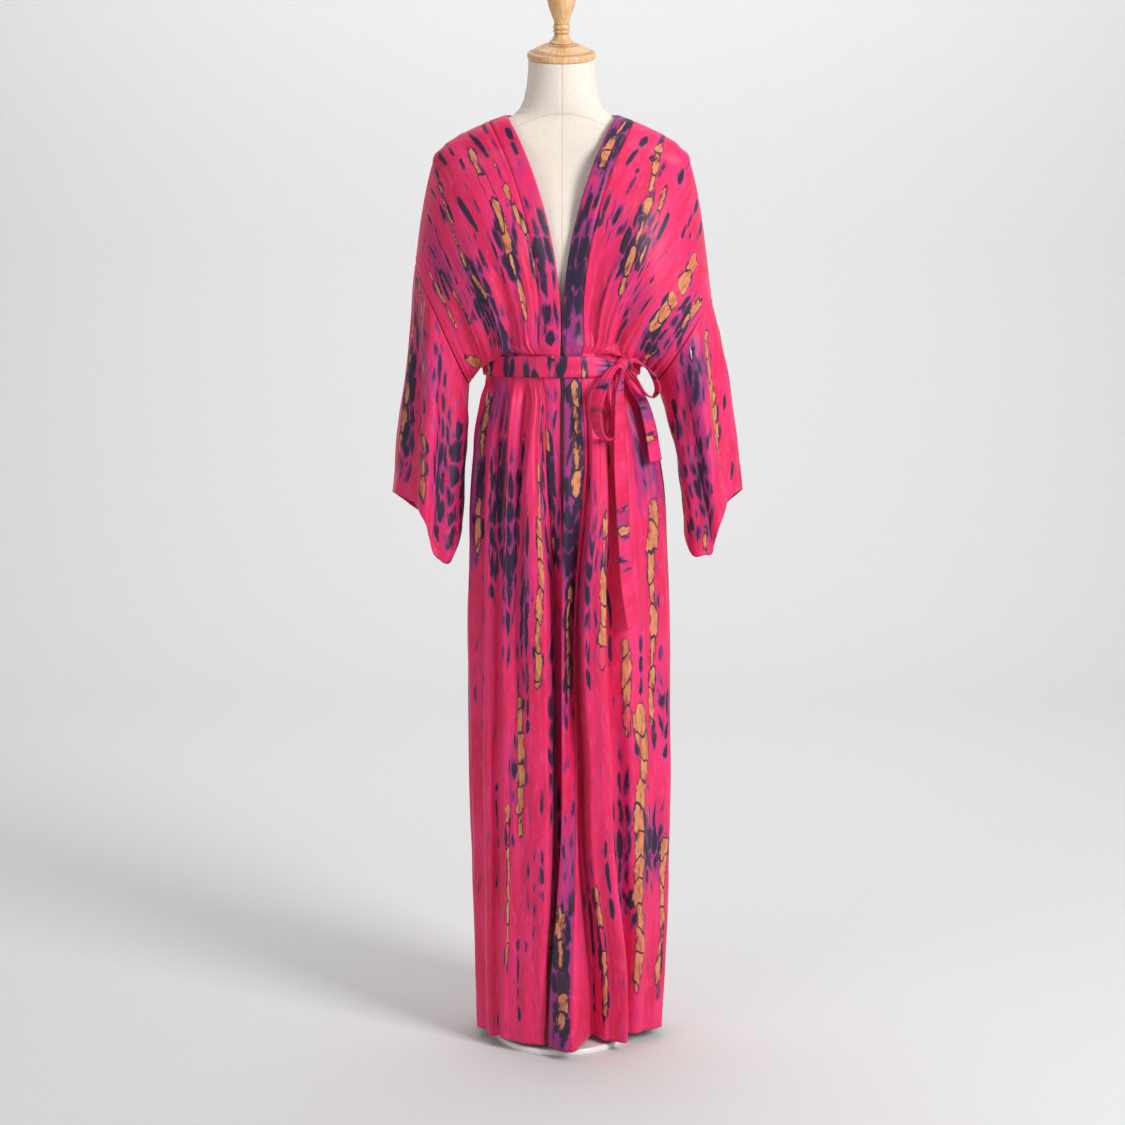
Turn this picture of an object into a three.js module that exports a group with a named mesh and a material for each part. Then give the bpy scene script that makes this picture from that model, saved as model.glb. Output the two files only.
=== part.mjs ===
// A long kimono robe, tied at the waist, on a linen dress form with a turned wooden cap.
// Millimetres, +Z up, the front faces -Y. The origin is the centre of the stand's underside.
// "Right" and "left" are the wearer's: the right side of the robe is at negative X.
import * as THREE from "three";
import { mergeVertices } from "three/addons/utils/BufferGeometryUtils.js";

const cloth = {
  wall: 1.5,
  seamGap: 0.3, // between the panels at a seam
  seamBevel: 0.9, // more than the gap comes off the inner faces there, so that the walls never cross
  underarmEase: 0.9, // how far the sleeve starts below the armhole at the underarm
  seamY: 4, // the side seams lie a little behind the middle
  offShoulder: 0.9, offNeck: 4.5, offForm: 6, // how far the cloth stays off the form
};
const robe = {
  bandWidth: 28,
  lipZ: 1062, // the cloth comes out over the sash here
  waistTopZ: 1057,
  waistBottomZ: 1023,
  hemZ: 16,
  armholeShare: 0.9, // of the bodice's length, where the armhole ends and the side seam starts
};
const sash = {
  topZ: 1055, bottomZ: 1025, wall: 1.8, clearance: 0.4,
  knotDegrees: 46, knotOut: 12.8, knotZ: 1042,
};
const stand = {
  torsoBottomZ: 790, neckTopZ: 1486, capTilt: 15, poleRadius: 12.5,
  baseRadius: 104, baseThickness: 9, hubRadius: 24, hubHeight: 34, fitGap: 0.3,
  shoulderEase: 6.5, // the form's shoulders are this much thinner than the space under the cloth
};

const colours = { print: 0xe8356c, sash: 0xee3a72, linen: 0xe6dace, wood: 0xdda468, lacquer: 0xe9e8e4 };
const finish = (color, roughness) => new THREE.MeshStandardMaterial({ color, roughness, metalness: 0 });
const printedCloth = finish(colours.print, 0.75);
const sashCloth = finish(colours.sash, 0.75);
const linen = finish(colours.linen, 0.9);
const turnedWood = finish(colours.wood, 0.45);
const lacqueredSteel = finish(colours.lacquer, 0.4);

const vec = (x, y, z) => new THREE.Vector3(x, y, z);
const { lerp, clamp, degToRad } = THREE.MathUtils;
const mix = (a, b, t) => a.clone().lerp(b, t);
const easeInOut = (t) => 0.5 - 0.5 * Math.cos(Math.PI * clamp(t, 0, 1));
const range = (count) => Array.from({ length: count }, (_, i) => i);

// Rows under a header of column names become objects with those names.
function table(header, rows) {
  const names = header.split(" ");
  return rows.map((row) => Object.fromEntries(names.map((name, i) => [name, row[i]])));
}

// A column of a table at any value of its key column, on a smooth curve through the rows.
function readTable(rows, key, at, column) {
  const last = rows.length - 1;
  const way = Math.sign(rows[last][key] - rows[0][key]);
  let i = 0;
  while (i < last - 1 && (at - rows[i + 1][key]) * way > 0) i++;
  const slope = (j) => {
    const a = rows[Math.max(j - 1, 0)], b = rows[Math.min(j + 1, last)];
    return (b[column] - a[column]) / (b[key] - a[key]);
  };
  const width = rows[i + 1][key] - rows[i][key];
  const t = clamp((at - rows[i][key]) / width, 0, 1);
  const start = lerp(rows[i][column], rows[i][column] + slope(i) * width, t);
  const end = lerp(rows[i + 1][column] - slope(i + 1) * width, rows[i + 1][column], t);
  return lerp(start, end, t * t * (3 - 2 * t));
}

function bezier(a, b, c, d, t) {
  const s = 1 - t;
  return a.clone().multiplyScalar(s ** 3).addScaledVector(b, 3 * s * s * t)
    .addScaledVector(c, 3 * s * t * t).addScaledVector(d, t ** 3);
}

// The shoulder seam runs out over the shoulder and then down to the top of the armhole. The form's
// shoulder lies just under it, and "formFront" and "formBack" are the form's depth at that point.
const shoulderLine = table("x z formFront formBack", [
  [80, 1403, 41, 48], [106, 1394, 42, 52], [131, 1383.5, 44, 58], [156, 1371, 47, 64],
  [175, 1357, 50, 68], [189, 1339, 54, 67], [198, 1310], [208, 1258],
]);
const sides = {
  right: { sign: -1, armholeTop: [217, 1190], armholeBottom: [138, 1010] },
  left: { sign: 1, armholeTop: [223, 1140], armholeBottom: [141, 1014] },
};
for (const side of Object.values(sides)) {
  side.top = vec(side.armholeTop[0], cloth.seamY, side.armholeTop[1]);
  side.underarm = vec(side.armholeBottom[0], cloth.seamY, side.armholeBottom[1]);
  const line = [...shoulderLine.map((p) => vec(p.x, cloth.seamY, p.z)), side.top];
  side.shoulder = new THREE.CatmullRomCurve3(line, false, "centripetal");
  side.shoulder.arcLengthDivisions = 400;
  side.shoulderLength = side.shoulder.getLength();
}

// The dress form: level sections with their own half width, front and back, leaning at the neck.
const shoulderRows = shoulderLine.filter((p) => p.formFront).map((p, i) => {
  const before = shoulderLine[Math.max(i - 1, 0)], after = shoulderLine[i + 1];
  const under = (cloth.wall + cloth.offShoulder) / Math.hypot(after.x - before.x, after.z - before.z);
  return {
    z: p.z - under * (after.x - before.x), half: p.x - under * (before.z - after.z),
    front: p.formFront, back: p.formBack, lean: 0,
  };
});
const formSections = table("z half front back lean", [
  [stand.torsoBottomZ, 122, 80, 88, 0],
  [870, 126, 90, 96, 0],
  [950, 116, 87, 87, 0],
  [1041, 102, 82, 73, 0],
  [1120, 114, 86, 80, 0],
  [1205, 139, 95, 88, 0],
  [1265, 160, 86, 88, 0],
  [1305, 177, 70, 78, 0],
  [1324, 181, 61, 72, 0],
]).concat(shoulderRows.reverse(), table("z half front back lean", [
  [1410, 66, 42, 48, 2],
  [1420, 59, 43, 47, 4],
  [1435, 54, 45, 46.5, 7],
  [1460, 50, 47, 47.5, 12],
  [stand.neckTopZ, 48.5, 48.5, 48.5, stand.capTilt],
]));

// How far a point stands off the form, by the section at its height, and the way out from there.
function formDistance(p) {
  const depth = p.y < 0 ? "front" : "back";
  const read = (name) => readTable(formSections, "z", p.z, name);
  return Math.hypot(p.x / read("half"), p.y / read(depth)) - 1;
}
function clearOfForm(point, clearance) {
  const passes = 5, step = 0.2, longestMove = 12;
  for (let pass = 0; pass < passes; pass++) {
    const here = formDistance(point);
    const out = vec(
      formDistance(vec(point.x + step, point.y, point.z)) - here,
      formDistance(vec(point.x, point.y + step, point.z)) - here,
      formDistance(vec(point.x, point.y, point.z + step)) - here,
    ).divideScalar(step);
    const short = clearance - here / out.length();
    if (short > 0) point.addScaledVector(out.normalize(), Math.min(short, longestMove));
  }
  return point;
}

// The body below the waist: half widths and depths of the unfolded ring at each height.
const ringSections = table("z right left front back", [
  [robe.waistTopZ, 113, 113, 100, 88],
  [robe.waistBottomZ, 113, 113, 100, 88],
  [985, 120, 123, 103, 94],
  [911, 133, 144, 109, 105],
  [760, 139, 159, 115, 113],
  [528, 139, 167, 117, 115],
  [276, 134, 166, 114, 115],
  [robe.hemZ, 127, 156, 103, 111],
]);
function ringPoint(side, degrees, z, out = 0) {
  const across = readTable(ringSections, "z", z, side.sign < 0 ? "right" : "left");
  const deep = readTable(ringSections, "z", z, degrees < 90 ? "front" : "back");
  const sin = Math.sin(degToRad(degrees)), cos = Math.cos(degToRad(degrees));
  const outwards = vec(sin / across, -cos / deep, 0).normalize();
  return vec(across * sin, cloth.seamY * sin - deep * cos, z).addScaledVector(outwards, out);
}

// Folds. Each row is the crest or the trough of one: the degrees round from the centre front at the
// waist (a0), below it (a1), at mid skirt (a2), low down (a3) and at the hem (a4), and how far it
// stands out there. "blouse" is how far it stands out above the waist.
const foldHeights = [robe.waistBottomZ, 985, 620, 400, robe.hemZ];
const foldColumns = "name blouse a0 a1 a2 a3 a4 out0 out1 out2 out3 out4";
const frontFolds = {
  right: table(foldColumns, [
    ["finishedEdge", 0, 1, 0.3, -2, -3, -4, 0, -6, -24, -28, -32],
    ["bandSeam", 0, 14, 11, 4, 5, 5, 0, -3, -36, -38, -36],
    ["pleatEdge", 3, 18, 15, 9, 9, 11, 0, 3, 4, 4, 2],
    ["pleatFace", 4, 23, 20, 20, 21, 24, 0, 5, 8, 6, 4],
    ["shortTrough", -7, 29, 26, 29, 32, 37, 0, -13, -4, -1, 0],
    ["hangingFold", 6, 37, 34, 36, 38, 43, 0, 9, 5, 3, 2],
    ["crease", -5, 45, 42, 42, 45, 51, 0, -5, -6, -4, -5],
    ["flatPanel", 4, 54, 50, 49, 51, 57, 0, 4, 4, 4, 5],
    ["sideTrough", -5, 64, 61, 62, 63, 67, 0, -8, -13, -10, -8],
    ["sideCrest", 3, 76, 75, 76, 77, 79, 0, 3, 5, 4, 5],
    ["sideSeam", 0, 90, 90, 90, 90, 90, 0, -2, -4, -4, -3],
  ]),
  left: table(foldColumns, [
    ["finishedEdge", 0, 2, 1.4, 0, 0, -7, 0, 0, -6, -6, 8],
    ["bandSeam", 0, 15, 14.5, 7, 8, 4, 0, 0, -34, -18, 29],
    ["slit", -4, 19, 17, 9, 11, 22, 0, -3, -38, -34, -36],
    ["panelNear", 4, 23, 20, 12, 15, 27, 0, 5, 5, 4, -8],
    ["panelFar", 5, 29, 27, 21, 24, 37, 0, 6, 9, 10, 10],
    ["deepTrough", -7, 34, 31, 25, 28.5, 41, 0, -9, -17, -20, -34],
    ["face", 4, 44, 41, 37, 40, 52, 0, 4, 1, 1, -12],
    ["shallowTrough", -5, 55, 53, 54, 56, 66, 0, -8, -8, -7, -9],
    ["sideCrest", 4, 70, 71, 72, 74, 78, 0, 4, 4, 4, 4],
    ["sideSeam", 0, 90, 90, 90, 90, 90, 0, -2, -4, -4, -3],
  ]),
};
const backFolds = {
  right: table(foldColumns, [
    ["centre", 5, 180, 180, 180, 180, 180, 0, 5, 8, 9, 9],
    ["trough1", -6, 168, 168, 167, 166, 165, 0, -7, -12, -13, -14],
    ["crest2", 4, 155, 156, 155, 154, 153, 0, 4, 7, 8, 8],
    ["trough2", -7, 141, 142, 141, 140, 138, 0, -9, -13, -13, -12],
    ["crest3", 5, 128, 128, 127, 127, 126, 0, 5, 7, 7, 8],
    ["trough3", -5, 114, 115, 115, 114, 112, 0, -6, -10, -11, -13],
    ["crest4", 4, 101, 101, 101, 101, 102, 0, 3, 5, 5, 6],
    ["sideSeam", 0, 90, 90, 90, 90, 90, 0, -2, -4, -4, -3],
  ]),
  left: table(foldColumns, [
    ["centre", 5, 180, 180, 180, 180, 180, 0, 5, 8, 9, 9],
    ["trough1", -7, 169, 169, 170, 170, 169, 0, -8, -12, -14, -15],
    ["crest2", 5, 157, 157, 157, 158, 158, 0, 5, 7, 8, 8],
    ["trough2", -5, 145, 144, 144, 143, 142, 0, -7, -11, -11, -10],
    ["crest3", 6, 131, 131, 130, 129, 128, 0, 5, 8, 8, 9],
    ["trough3", -6, 117, 117, 116, 115, 113, 0, -8, -12, -13, -14],
    ["crest4", 4, 102, 102, 102, 102, 102, 0, 4, 6, 6, 7],
    ["sideSeam", 0, 90, 90, 90, 90, 90, 0, -2, -4, -4, -3],
  ]),
};

// A column of cloth keeps its share of the way from one fold row to the next, all the way down.
const foldSteps = 3;
function columnsOf(folds) {
  const last = (folds.length - 1) * foldSteps;
  return range(last + 1).map((j) => {
    const fold = Math.min(Math.floor(j / foldSteps), folds.length - 2);
    return { fold, share: j / foldSteps - fold };
  });
}
function atHeight(row, kind, z) {
  let i = 0;
  while (i < foldHeights.length - 2 && z < foldHeights[i + 1]) i++;
  const t = (foldHeights[i] - z) / (foldHeights[i] - foldHeights[i + 1]);
  return lerp(row[kind + i], row[kind + (i + 1)], easeInOut(t));
}
function foldAt(folds, { fold, share }, z) {
  const a = folds[fold], b = folds[fold + 1];
  return {
    degrees: lerp(atHeight(a, "a", z), atHeight(b, "a", z), share),
    out: lerp(atHeight(a, "out", z), atHeight(b, "out", z), easeInOut(share)),
    blouse: lerp(a.blouse, b.blouse, easeInOut(share)),
  };
}

// The armhole is a leaning loop from its top, by the front or the back, to the underarm.
const armhole = { front: 70, back: 78 };
function armholePoint(side, degrees) {
  const p = mix(side.top, side.underarm, (1 - Math.cos(degToRad(degrees))) / 2);
  p.y -= Math.sin(degToRad(degrees)) * (degrees < 180 ? armhole.front : armhole.back);
  return p;
}
function outerEdge(side, isBack, down) {
  if (down > robe.armholeShare) {
    const below = (down - robe.armholeShare) / (1 - robe.armholeShare);
    return mix(side.underarm, ringPoint(side, 90, robe.waistTopZ), below);
  }
  const degrees = (180 * down) / robe.armholeShare;
  return armholePoint(side, isBack ? 360 - degrees : degrees);
}

// The neck: the front's finished edge falls to the waist, and the back of the neck crosses behind it.
const neck = {
  frontPulls: [vec(34, -62, 1324), vec(-6, -104, 1190)],
  backPulls: [vec(0, 104, 1300), vec(0, 104, 1180)],
  edge: { centre: vec(0, 62, 1396), pull: vec(52, 56, 1402) },
  seam: { centre: vec(0, 82, 1376), pull: vec(68, 74, 1388) },
};
const overShoulder = 2.3; // how soon the neck edge comes forward on its way down
function shoulderPoint(side, length) {
  return side.shoulder.getPointAt(clamp(length / side.shoulderLength, 0, 1));
}
function backNeckPoint(side, share, kind) {
  const { centre, pull } = neck[kind];
  const end = shoulderPoint(side, kind === "seam" ? robe.bandWidth : 0);
  return bezier(centre, vec(pull.x * 0.55, centre.y, centre.z), pull, end, share);
}
function innerEdge(side, isBack, down) {
  const waist = ringPoint(side, isBack ? 180 : 1, robe.waistTopZ);
  const t = 1 - (1 - down) ** overShoulder;
  const path = isBack
    ? [neck.seam.centre, ...neck.backPulls, waist]
    : [shoulderPoint(side, 0), ...neck.frontPulls, waist];
  const p = bezier(...path, down);
  p.y = bezier(...path, t).y;
  return p;
}

// The bodice is a patch between its shoulder, waist, neck and armhole edges.
const bust = { across: 0.32, down: 0.5, wide: 0.28, tall: 0.26, out: 14 };
function bodicePoint(side, isBack, topPoint, across, down) {
  const waist = ringPoint(side, isBack ? 180 - 90 * across : 1 + 89 * across, robe.waistTopZ);
  const edges = mix(innerEdge(side, isBack, down), outerEdge(side, isBack, down), across);
  const corners = (t) => mix(innerEdge(side, isBack, t), outerEdge(side, isBack, t), across);
  const fromTop = topPoint.clone().sub(corners(0)).multiplyScalar(1 - down);
  const fromWaist = waist.sub(corners(1)).multiplyScalar(down);
  const p = edges.add(fromTop).add(fromWaist);
  const fromBust = Math.hypot((across - bust.across) / bust.wide, (down - bust.down) / bust.tall);
  if (!isBack) p.y -= bust.out * Math.exp(-(fromBust ** 2));
  return p;
}

// The rows of the body, from the shoulder to the hem. The first ones are a share of the bodice.
const bodiceRows = [0, 0.02, 0.06, 0.12, 0.2, 0.3, 0.41, 0.52, 0.63, 0.74, 0.83, robe.armholeShare, 0.95];
const skirtRows = [robe.waistBottomZ, 1008, 985, 925, 840, 730, 600, 460, 310, 150, robe.hemZ];
const armholeRow = bodiceRows.indexOf(robe.armholeShare);
const lipRow = bodiceRows.length;
const rowCount = lipRow + 2 + skirtRows.length;
// Where the bodice comes out over the sash. It grows to its full depth over a share of the waist, and the
// cloth above it starts to come out by "rise".
const lip = { out: 2, rise: 22, narrowTo: 0.3 };
const lipReach = { right: 3.2, left: 7, back: 10 };
const neckShare = 0.26; // of the back's width at the shoulders, how much is the back of the neck
const edgeLength = { waist: 157 }; // of a front, from its finished edge to the side seam
const gather = { from: 0.35, over: 0.4, side: 0.8, nearWaist: 0.4 }; // where the blouse's folds start

// Where each column lies across the bodice. At the shoulder the columns are even on each side of
// the corner column (the band's seam, or the end of the back of the neck), and at the waist they
// lie where the folds are.
function layColumns(side, isBack, folds) {
  const columns = columnsOf(folds), last = columns.length - 1;
  const corner = isBack ? 2 * foldSteps : foldSteps;
  const waistTurn = 90;
  columns.forEach((column, j) => {
    const degrees = foldAt(folds, column, robe.waistBottomZ).degrees;
    column.waist = clamp((isBack ? 180 - degrees : degrees - 1) / waistTurn, 0, 1);
    const onShoulder = (j - corner) / (last - corner);
    const seamLength = side.shoulderLength - robe.bandWidth;
    if (isBack) {
      column.shoulder = j < corner
        ? (neckShare * j) / corner
        : neckShare + (1 - neckShare) * onShoulder;
      column.top = j < corner
        ? backNeckPoint(side, j / corner, "seam")
        : shoulderPoint(side, robe.bandWidth + seamLength * onShoulder);
    } else {
      const band = robe.bandWidth / side.shoulderLength;
      column.shoulder = j < corner ? (band * j) / corner : band + (1 - band) * onShoulder;
      column.top = shoulderPoint(side, column.shoulder * side.shoulderLength);
    }
  });
  columns.corner = corner;
  return columns;
}

// Half of a panel: the columns run from the centre front or back to the side seam.
function halfPanel(side, isBack) {
  const folds = (isBack ? backFolds : frontFolds)[side.sign < 0 ? "right" : "left"];
  const columns = layColumns(side, isBack, folds);
  const corner = columns[columns.corner], waistShare = 0.2;
  const shareFrom = (start, at) => (at - start) / (1 - start);
  // The columns go over from the shoulder's spacing to the waist's, and the band keeps its width.
  const acrossAt = (column, j, down, onBand) => {
    const turn = easeInOut(down * 1.1);
    if (isBack) return lerp(column.shoulder, column.waist, turn);
    const bandEnd = robe.bandWidth / lerp(side.shoulderLength, edgeLength.waist, down);
    if (onBand) return (bandEnd * j) / columns.corner;
    const onShoulder = shareFrom(corner.shoulder, column.shoulder);
    return lerp(bandEnd, 1, lerp(onShoulder, shareFrom(corner.waist, column.waist), turn));
  };
  const place = (column, j, row) => {
    const fold = foldAt(folds, column, robe.waistBottomZ);
    if (row > lipRow + 1) {
      const z = skirtRows[row - lipRow - 2];
      const { degrees, out } = foldAt(folds, column, z);
      const p = ringPoint(side, degrees, z, out);
      return z > stand.torsoBottomZ - 10 ? clearOfForm(p, cloth.offForm) : p;
    }
    if (row > lipRow) return ringPoint(side, fold.degrees, robe.waistTopZ);
    const onBand = !isBack && j <= columns.corner;
    if (row === lipRow) {
      const out = lip.out * clamp(column.waist / lip.narrowTo, onBand ? 0 : lip.narrowTo, 1);
      return ringPoint(side, fold.degrees, robe.lipZ, out);
    }
    const down = bodiceRows[row];
    if (down === 0) {
      const top = column.top.clone();
      return isBack && j < columns.corner ? clearOfForm(top, cloth.offNeck) : top;
    }
    const across = acrossAt(column, j, down, onBand);
    const p = bodicePoint(side, isBack, column.top, across, down);
    const out = fold.blouse * easeInOut((down - gather.from) / gather.over);
    p.y += (isBack ? 1 : -1) * out * Math.cos((across * Math.PI) / 2);
    const sideways = down > 1 - waistShare ? gather.nearWaist : gather.side;
    p.x += out * Math.sin((across * Math.PI) / 2) * sideways;
    const seamShare = clamp(down / bodiceRows[2], 0, 1);
    clearOfForm(p, lerp(cloth.wall + cloth.offShoulder, cloth.offForm, seamShare));
    const reach = isBack ? lipReach.back : lipReach[side.sign < 0 ? "right" : "left"];
    return clearOfSash(side, p, reach * clamp(column.waist / lip.narrowTo, 0.4, 1));
  };
  return range(rowCount).map((row) => columns.map((column, j) => {
    const p = place(column, j, row);
    p.x *= side.sign;
    return p;
  }));
}
// Cloth that hangs over the sash stays outside it.
function clearOfSash(side, p, reach) {
  const near = clamp((robe.lipZ + lip.rise - p.z) / lip.rise, 0, 1);
  if (near === 0) return p;
  reach *= near * near * (3 - 2 * near);
  const z = robe.waistTopZ;
  const wide = readTable(ringSections, "z", z, "left") + reach;
  const deep = readTable(ringSections, "z", z, p.y < 0 ? "front" : "back") + reach;
  const inside = Math.hypot(p.x / wide, p.y / deep);
  if (inside < 1) {
    p.x /= inside;
    p.y /= inside;
  }
  return p;
}

// A sheet is a grid of points on the cloth's outer face, with the way out at each.
class Sheet {
  constructor(points, outwards = 1) {
    this.points = points;
    this.normals = points.map((row, i) => row.map((_, j) => this.normalAt(i, j).multiplyScalar(outwards)));
  }
  normalAt(i, j) {
    const { points } = this, rows = points.length, columns = points[0].length;
    const step = (a, b) => points[Math.min(b, rows - 1)][j].clone().sub(points[Math.max(a, 0)][j]).normalize();
    const down = step(i, i + 1).add(step(i - 1, i)); // at a sharp turn the wall lies square to it
    const along = points[i][Math.min(j + 1, columns - 1)].clone().sub(points[i][Math.max(j - 1, 0)]);
    return along.cross(down).normalize();
  }
  column(j, from = 0, to = this.points.length - 1) {
    const at = j < 0 ? this.points[0].length + j : j;
    const pick = (grid) => grid.slice(from, to + 1).map((row) => row[at]);
    return { points: pick(this.points), normals: pick(this.normals) };
  }
  part(fromColumn, toColumn) {
    const cut = (grid) => grid.map((row) => row.slice(fromColumn, toColumn + 1).map((v) => v.clone()));
    const made = new Sheet(cut(this.points));
    made.normals = cut(this.normals);
    return made;
  }
  // Half the seam's gap comes off each edge that is named: top, first or last.
  trim(...edges) {
    this.seams = edges;
    drawBack(this.points, edges, cloth.seamGap / 2);
    return this;
  }
}
function drawBack(points, edges, length) {
  const last = points[0].length - 1, moves = [];
  const move = (i, j, ni, nj) =>
    moves.push([points[i][j], points[ni][nj].clone().sub(points[i][j]).setLength(length)]);
  if (edges.includes("top")) points[0].forEach((_, j) => move(0, j, 1, j));
  if (edges.includes("first")) points.forEach((_, i) => move(i, 0, i, 1));
  if (edges.includes("last")) points.forEach((_, i) => move(i, last, i, last - 1));
  moves.forEach(([point, step]) => point.add(step));
}
// Cloth on both sides of a seam has one normal there, so that the walls meet edge to edge.
function shareNormals(...lists) {
  lists[0].forEach((_, k) => {
    const sum = lists.reduce((total, list) => total.add(list[k]), vec(0, 0, 0)).normalize();
    lists.forEach((list) => list[k].copy(sum));
  });
}

// The wall of a grid: its outer face, its inner face and the strips along its edges.
function wallGeometry(outer, inner, ring = false) {
  const rows = outer.length, columns = outer[0].length, index = [];
  const positions = [outer, inner].flatMap((grid) => grid.flatMap((row) => row.flatMap((p) => p.toArray())));
  const at = (layer, i, j) => layer * rows * columns + i * columns + (j % columns);
  const quad = (a, b, c, d) => index.push(a, b, c, a, c, d);
  const spans = ring ? columns : columns - 1;
  for (let j = 0; j < spans; j++) {
    for (let i = 0; i < rows - 1; i++) {
      quad(at(0, i, j), at(0, i, j + 1), at(0, i + 1, j + 1), at(0, i + 1, j));
      quad(at(1, i, j), at(1, i + 1, j), at(1, i + 1, j + 1), at(1, i, j + 1));
    }
    quad(at(0, 0, j), at(1, 0, j), at(1, 0, j + 1), at(0, 0, j + 1));
    quad(at(0, rows - 1, j), at(0, rows - 1, j + 1), at(1, rows - 1, j + 1), at(1, rows - 1, j));
  }
  for (let i = 0; !ring && i < rows - 1; i++) {
    const last = columns - 1;
    quad(at(0, i, 0), at(0, i + 1, 0), at(1, i + 1, 0), at(1, i, 0));
    quad(at(0, i, last), at(1, i, last), at(1, i + 1, last), at(0, i + 1, last));
  }
  const geometry = new THREE.BufferGeometry();
  geometry.setAttribute("position", new THREE.Float32BufferAttribute(positions, 3));
  geometry.setIndex(index);
  return geometry;
}
function clothWall(sheet, ring = false) {
  const inner = sheet.points.map((row, i) =>
    row.map((p, j) => p.clone().addScaledVector(sheet.normals[i][j], -cloth.wall)));
  drawBack(inner, sheet.seams, cloth.seamBevel);
  return wallGeometry(sheet.points, inner, ring);
}

function signedVolume(geometry) {
  const p = geometry.getAttribute("position"), index = geometry.getIndex();
  const corner = (k) => vec(0, 0, 0).fromBufferAttribute(p, index.getX(k));
  let sum = 0;
  for (let k = 0; k < index.count; k += 3) sum += corner(k).dot(corner(k + 1).cross(corner(k + 2)));
  return sum / 6;
}
const object = new THREE.Group();
function addPart(name, geometry, material) {
  geometry.deleteAttribute("normal");
  geometry.deleteAttribute("uv");
  const merged = mergeVertices(geometry, 1e-4);
  if (signedVolume(merged) < 0) merged.index.array.reverse();
  const mesh = new THREE.Mesh(merged, material);
  mesh.name = name;
  object.add(mesh);
  return mesh;
}

// The body's sheets: a front for each side with its band on it, and one back.
const front = {
  right: new Sheet(halfPanel(sides.right, false), 1),
  left: new Sheet(halfPanel(sides.left, false), -1),
};
const backHalves = { right: halfPanel(sides.right, true), left: halfPanel(sides.left, true) };
const back = new Sheet(range(rowCount).map((row) => [
  ...backHalves.right[row].slice().reverse(), ...backHalves.left[row].slice(1),
]));
const backCentre = backHalves.right[0].length - 1;

// Along the shoulder seam both panels lie square to the seam line.
function squareToShoulder(sheet, from, to) {
  for (let j = from; j <= to; j++) {
    const row = sheet.points[0], out = sheet.normals[0][j];
    const along = row[Math.min(j + 1, to)].clone().sub(row[Math.max(j - 1, from)]);
    out.set(-along.z, 0, along.x).normalize();
    if (out.z * 4 + out.x * Math.sign(row[j].x) < 0) out.negate();
  }
}
squareToShoulder(front.right, 0, front.right.points[0].length - 1);
squareToShoulder(front.left, 0, front.left.points[0].length - 1);
const backColumns = back.points[0].length - 1;
squareToShoulder(back, 0, backCentre - 2 * foldSteps);
squareToShoulder(back, backCentre + 2 * foldSteps, backColumns);

// A sleeve hangs from the armhole to its cuff. The cuff's loop is a table of points round it, and
// the folds stand out more the nearer they are to the cuff.
const cuffColumns = "name degrees x y z";
const cuffs = {
  right: table(cuffColumns, [
    ["outerCorner", 0, 253, 6, 846],
    ["turnedEdge", 38, 234, -36, 838],
    ["innerTurn", 68, 211, -44, 828],
    ["frontFall", 100, 196, -62, 790],
    ["lowCorner", 130, 180, -58, 752],
    ["lowEdge", 155, 164, -36, 759],
    ["innerSide", 180, 151, 2, 800],
    ["backLow", 220, 170, 52, 784],
    ["backMiddle", 270, 206, 76, 800],
    ["backOuter", 320, 240, 54, 832],
  ]),
  left: table(cuffColumns, [
    ["outerCorner", 0, 272, 6, 850],
    ["turnedEdge", 36, 256, -36, 838],
    ["innerTurn", 66, 240, -46, 824],
    ["frontFall", 98, 226, -64, 776],
    ["lowCorner", 128, 212, -62, 760],
    ["lowEdge", 154, 195, -40, 768],
    ["innerSide", 180, 186, 2, 806],
    ["backLow", 220, 200, 50, 782],
    ["backMiddle", 270, 230, 74, 798],
    ["backOuter", 320, 260, 52, 834],
  ]),
};
const sleeveFoldColumns = "name degrees middle cuff";
const sleeveFolds = {
  right: table(sleeveFoldColumns, [
    ["outer", 0, 0, 0], ["valley", 44, -13, -9], ["ridge", 76, 9, 8], ["trough", 112, -11, -7],
    ["face", 146, 4, 4], ["inner", 180, 0, 0], ["backTrough", 232, -8, -10], ["backRidge", 285, 6, 7],
  ]),
  left: table(sleeveFoldColumns, [
    ["outer", 0, 6, 0], ["valley", 40, -10, -8], ["ridge", 74, 8, 7], ["trough", 108, -8, -9],
    ["face", 140, -4, 6], ["inner", 180, -10, 0], ["backTrough", 228, -8, -10], ["backRidge", 280, 6, 7],
  ]),
};
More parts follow.
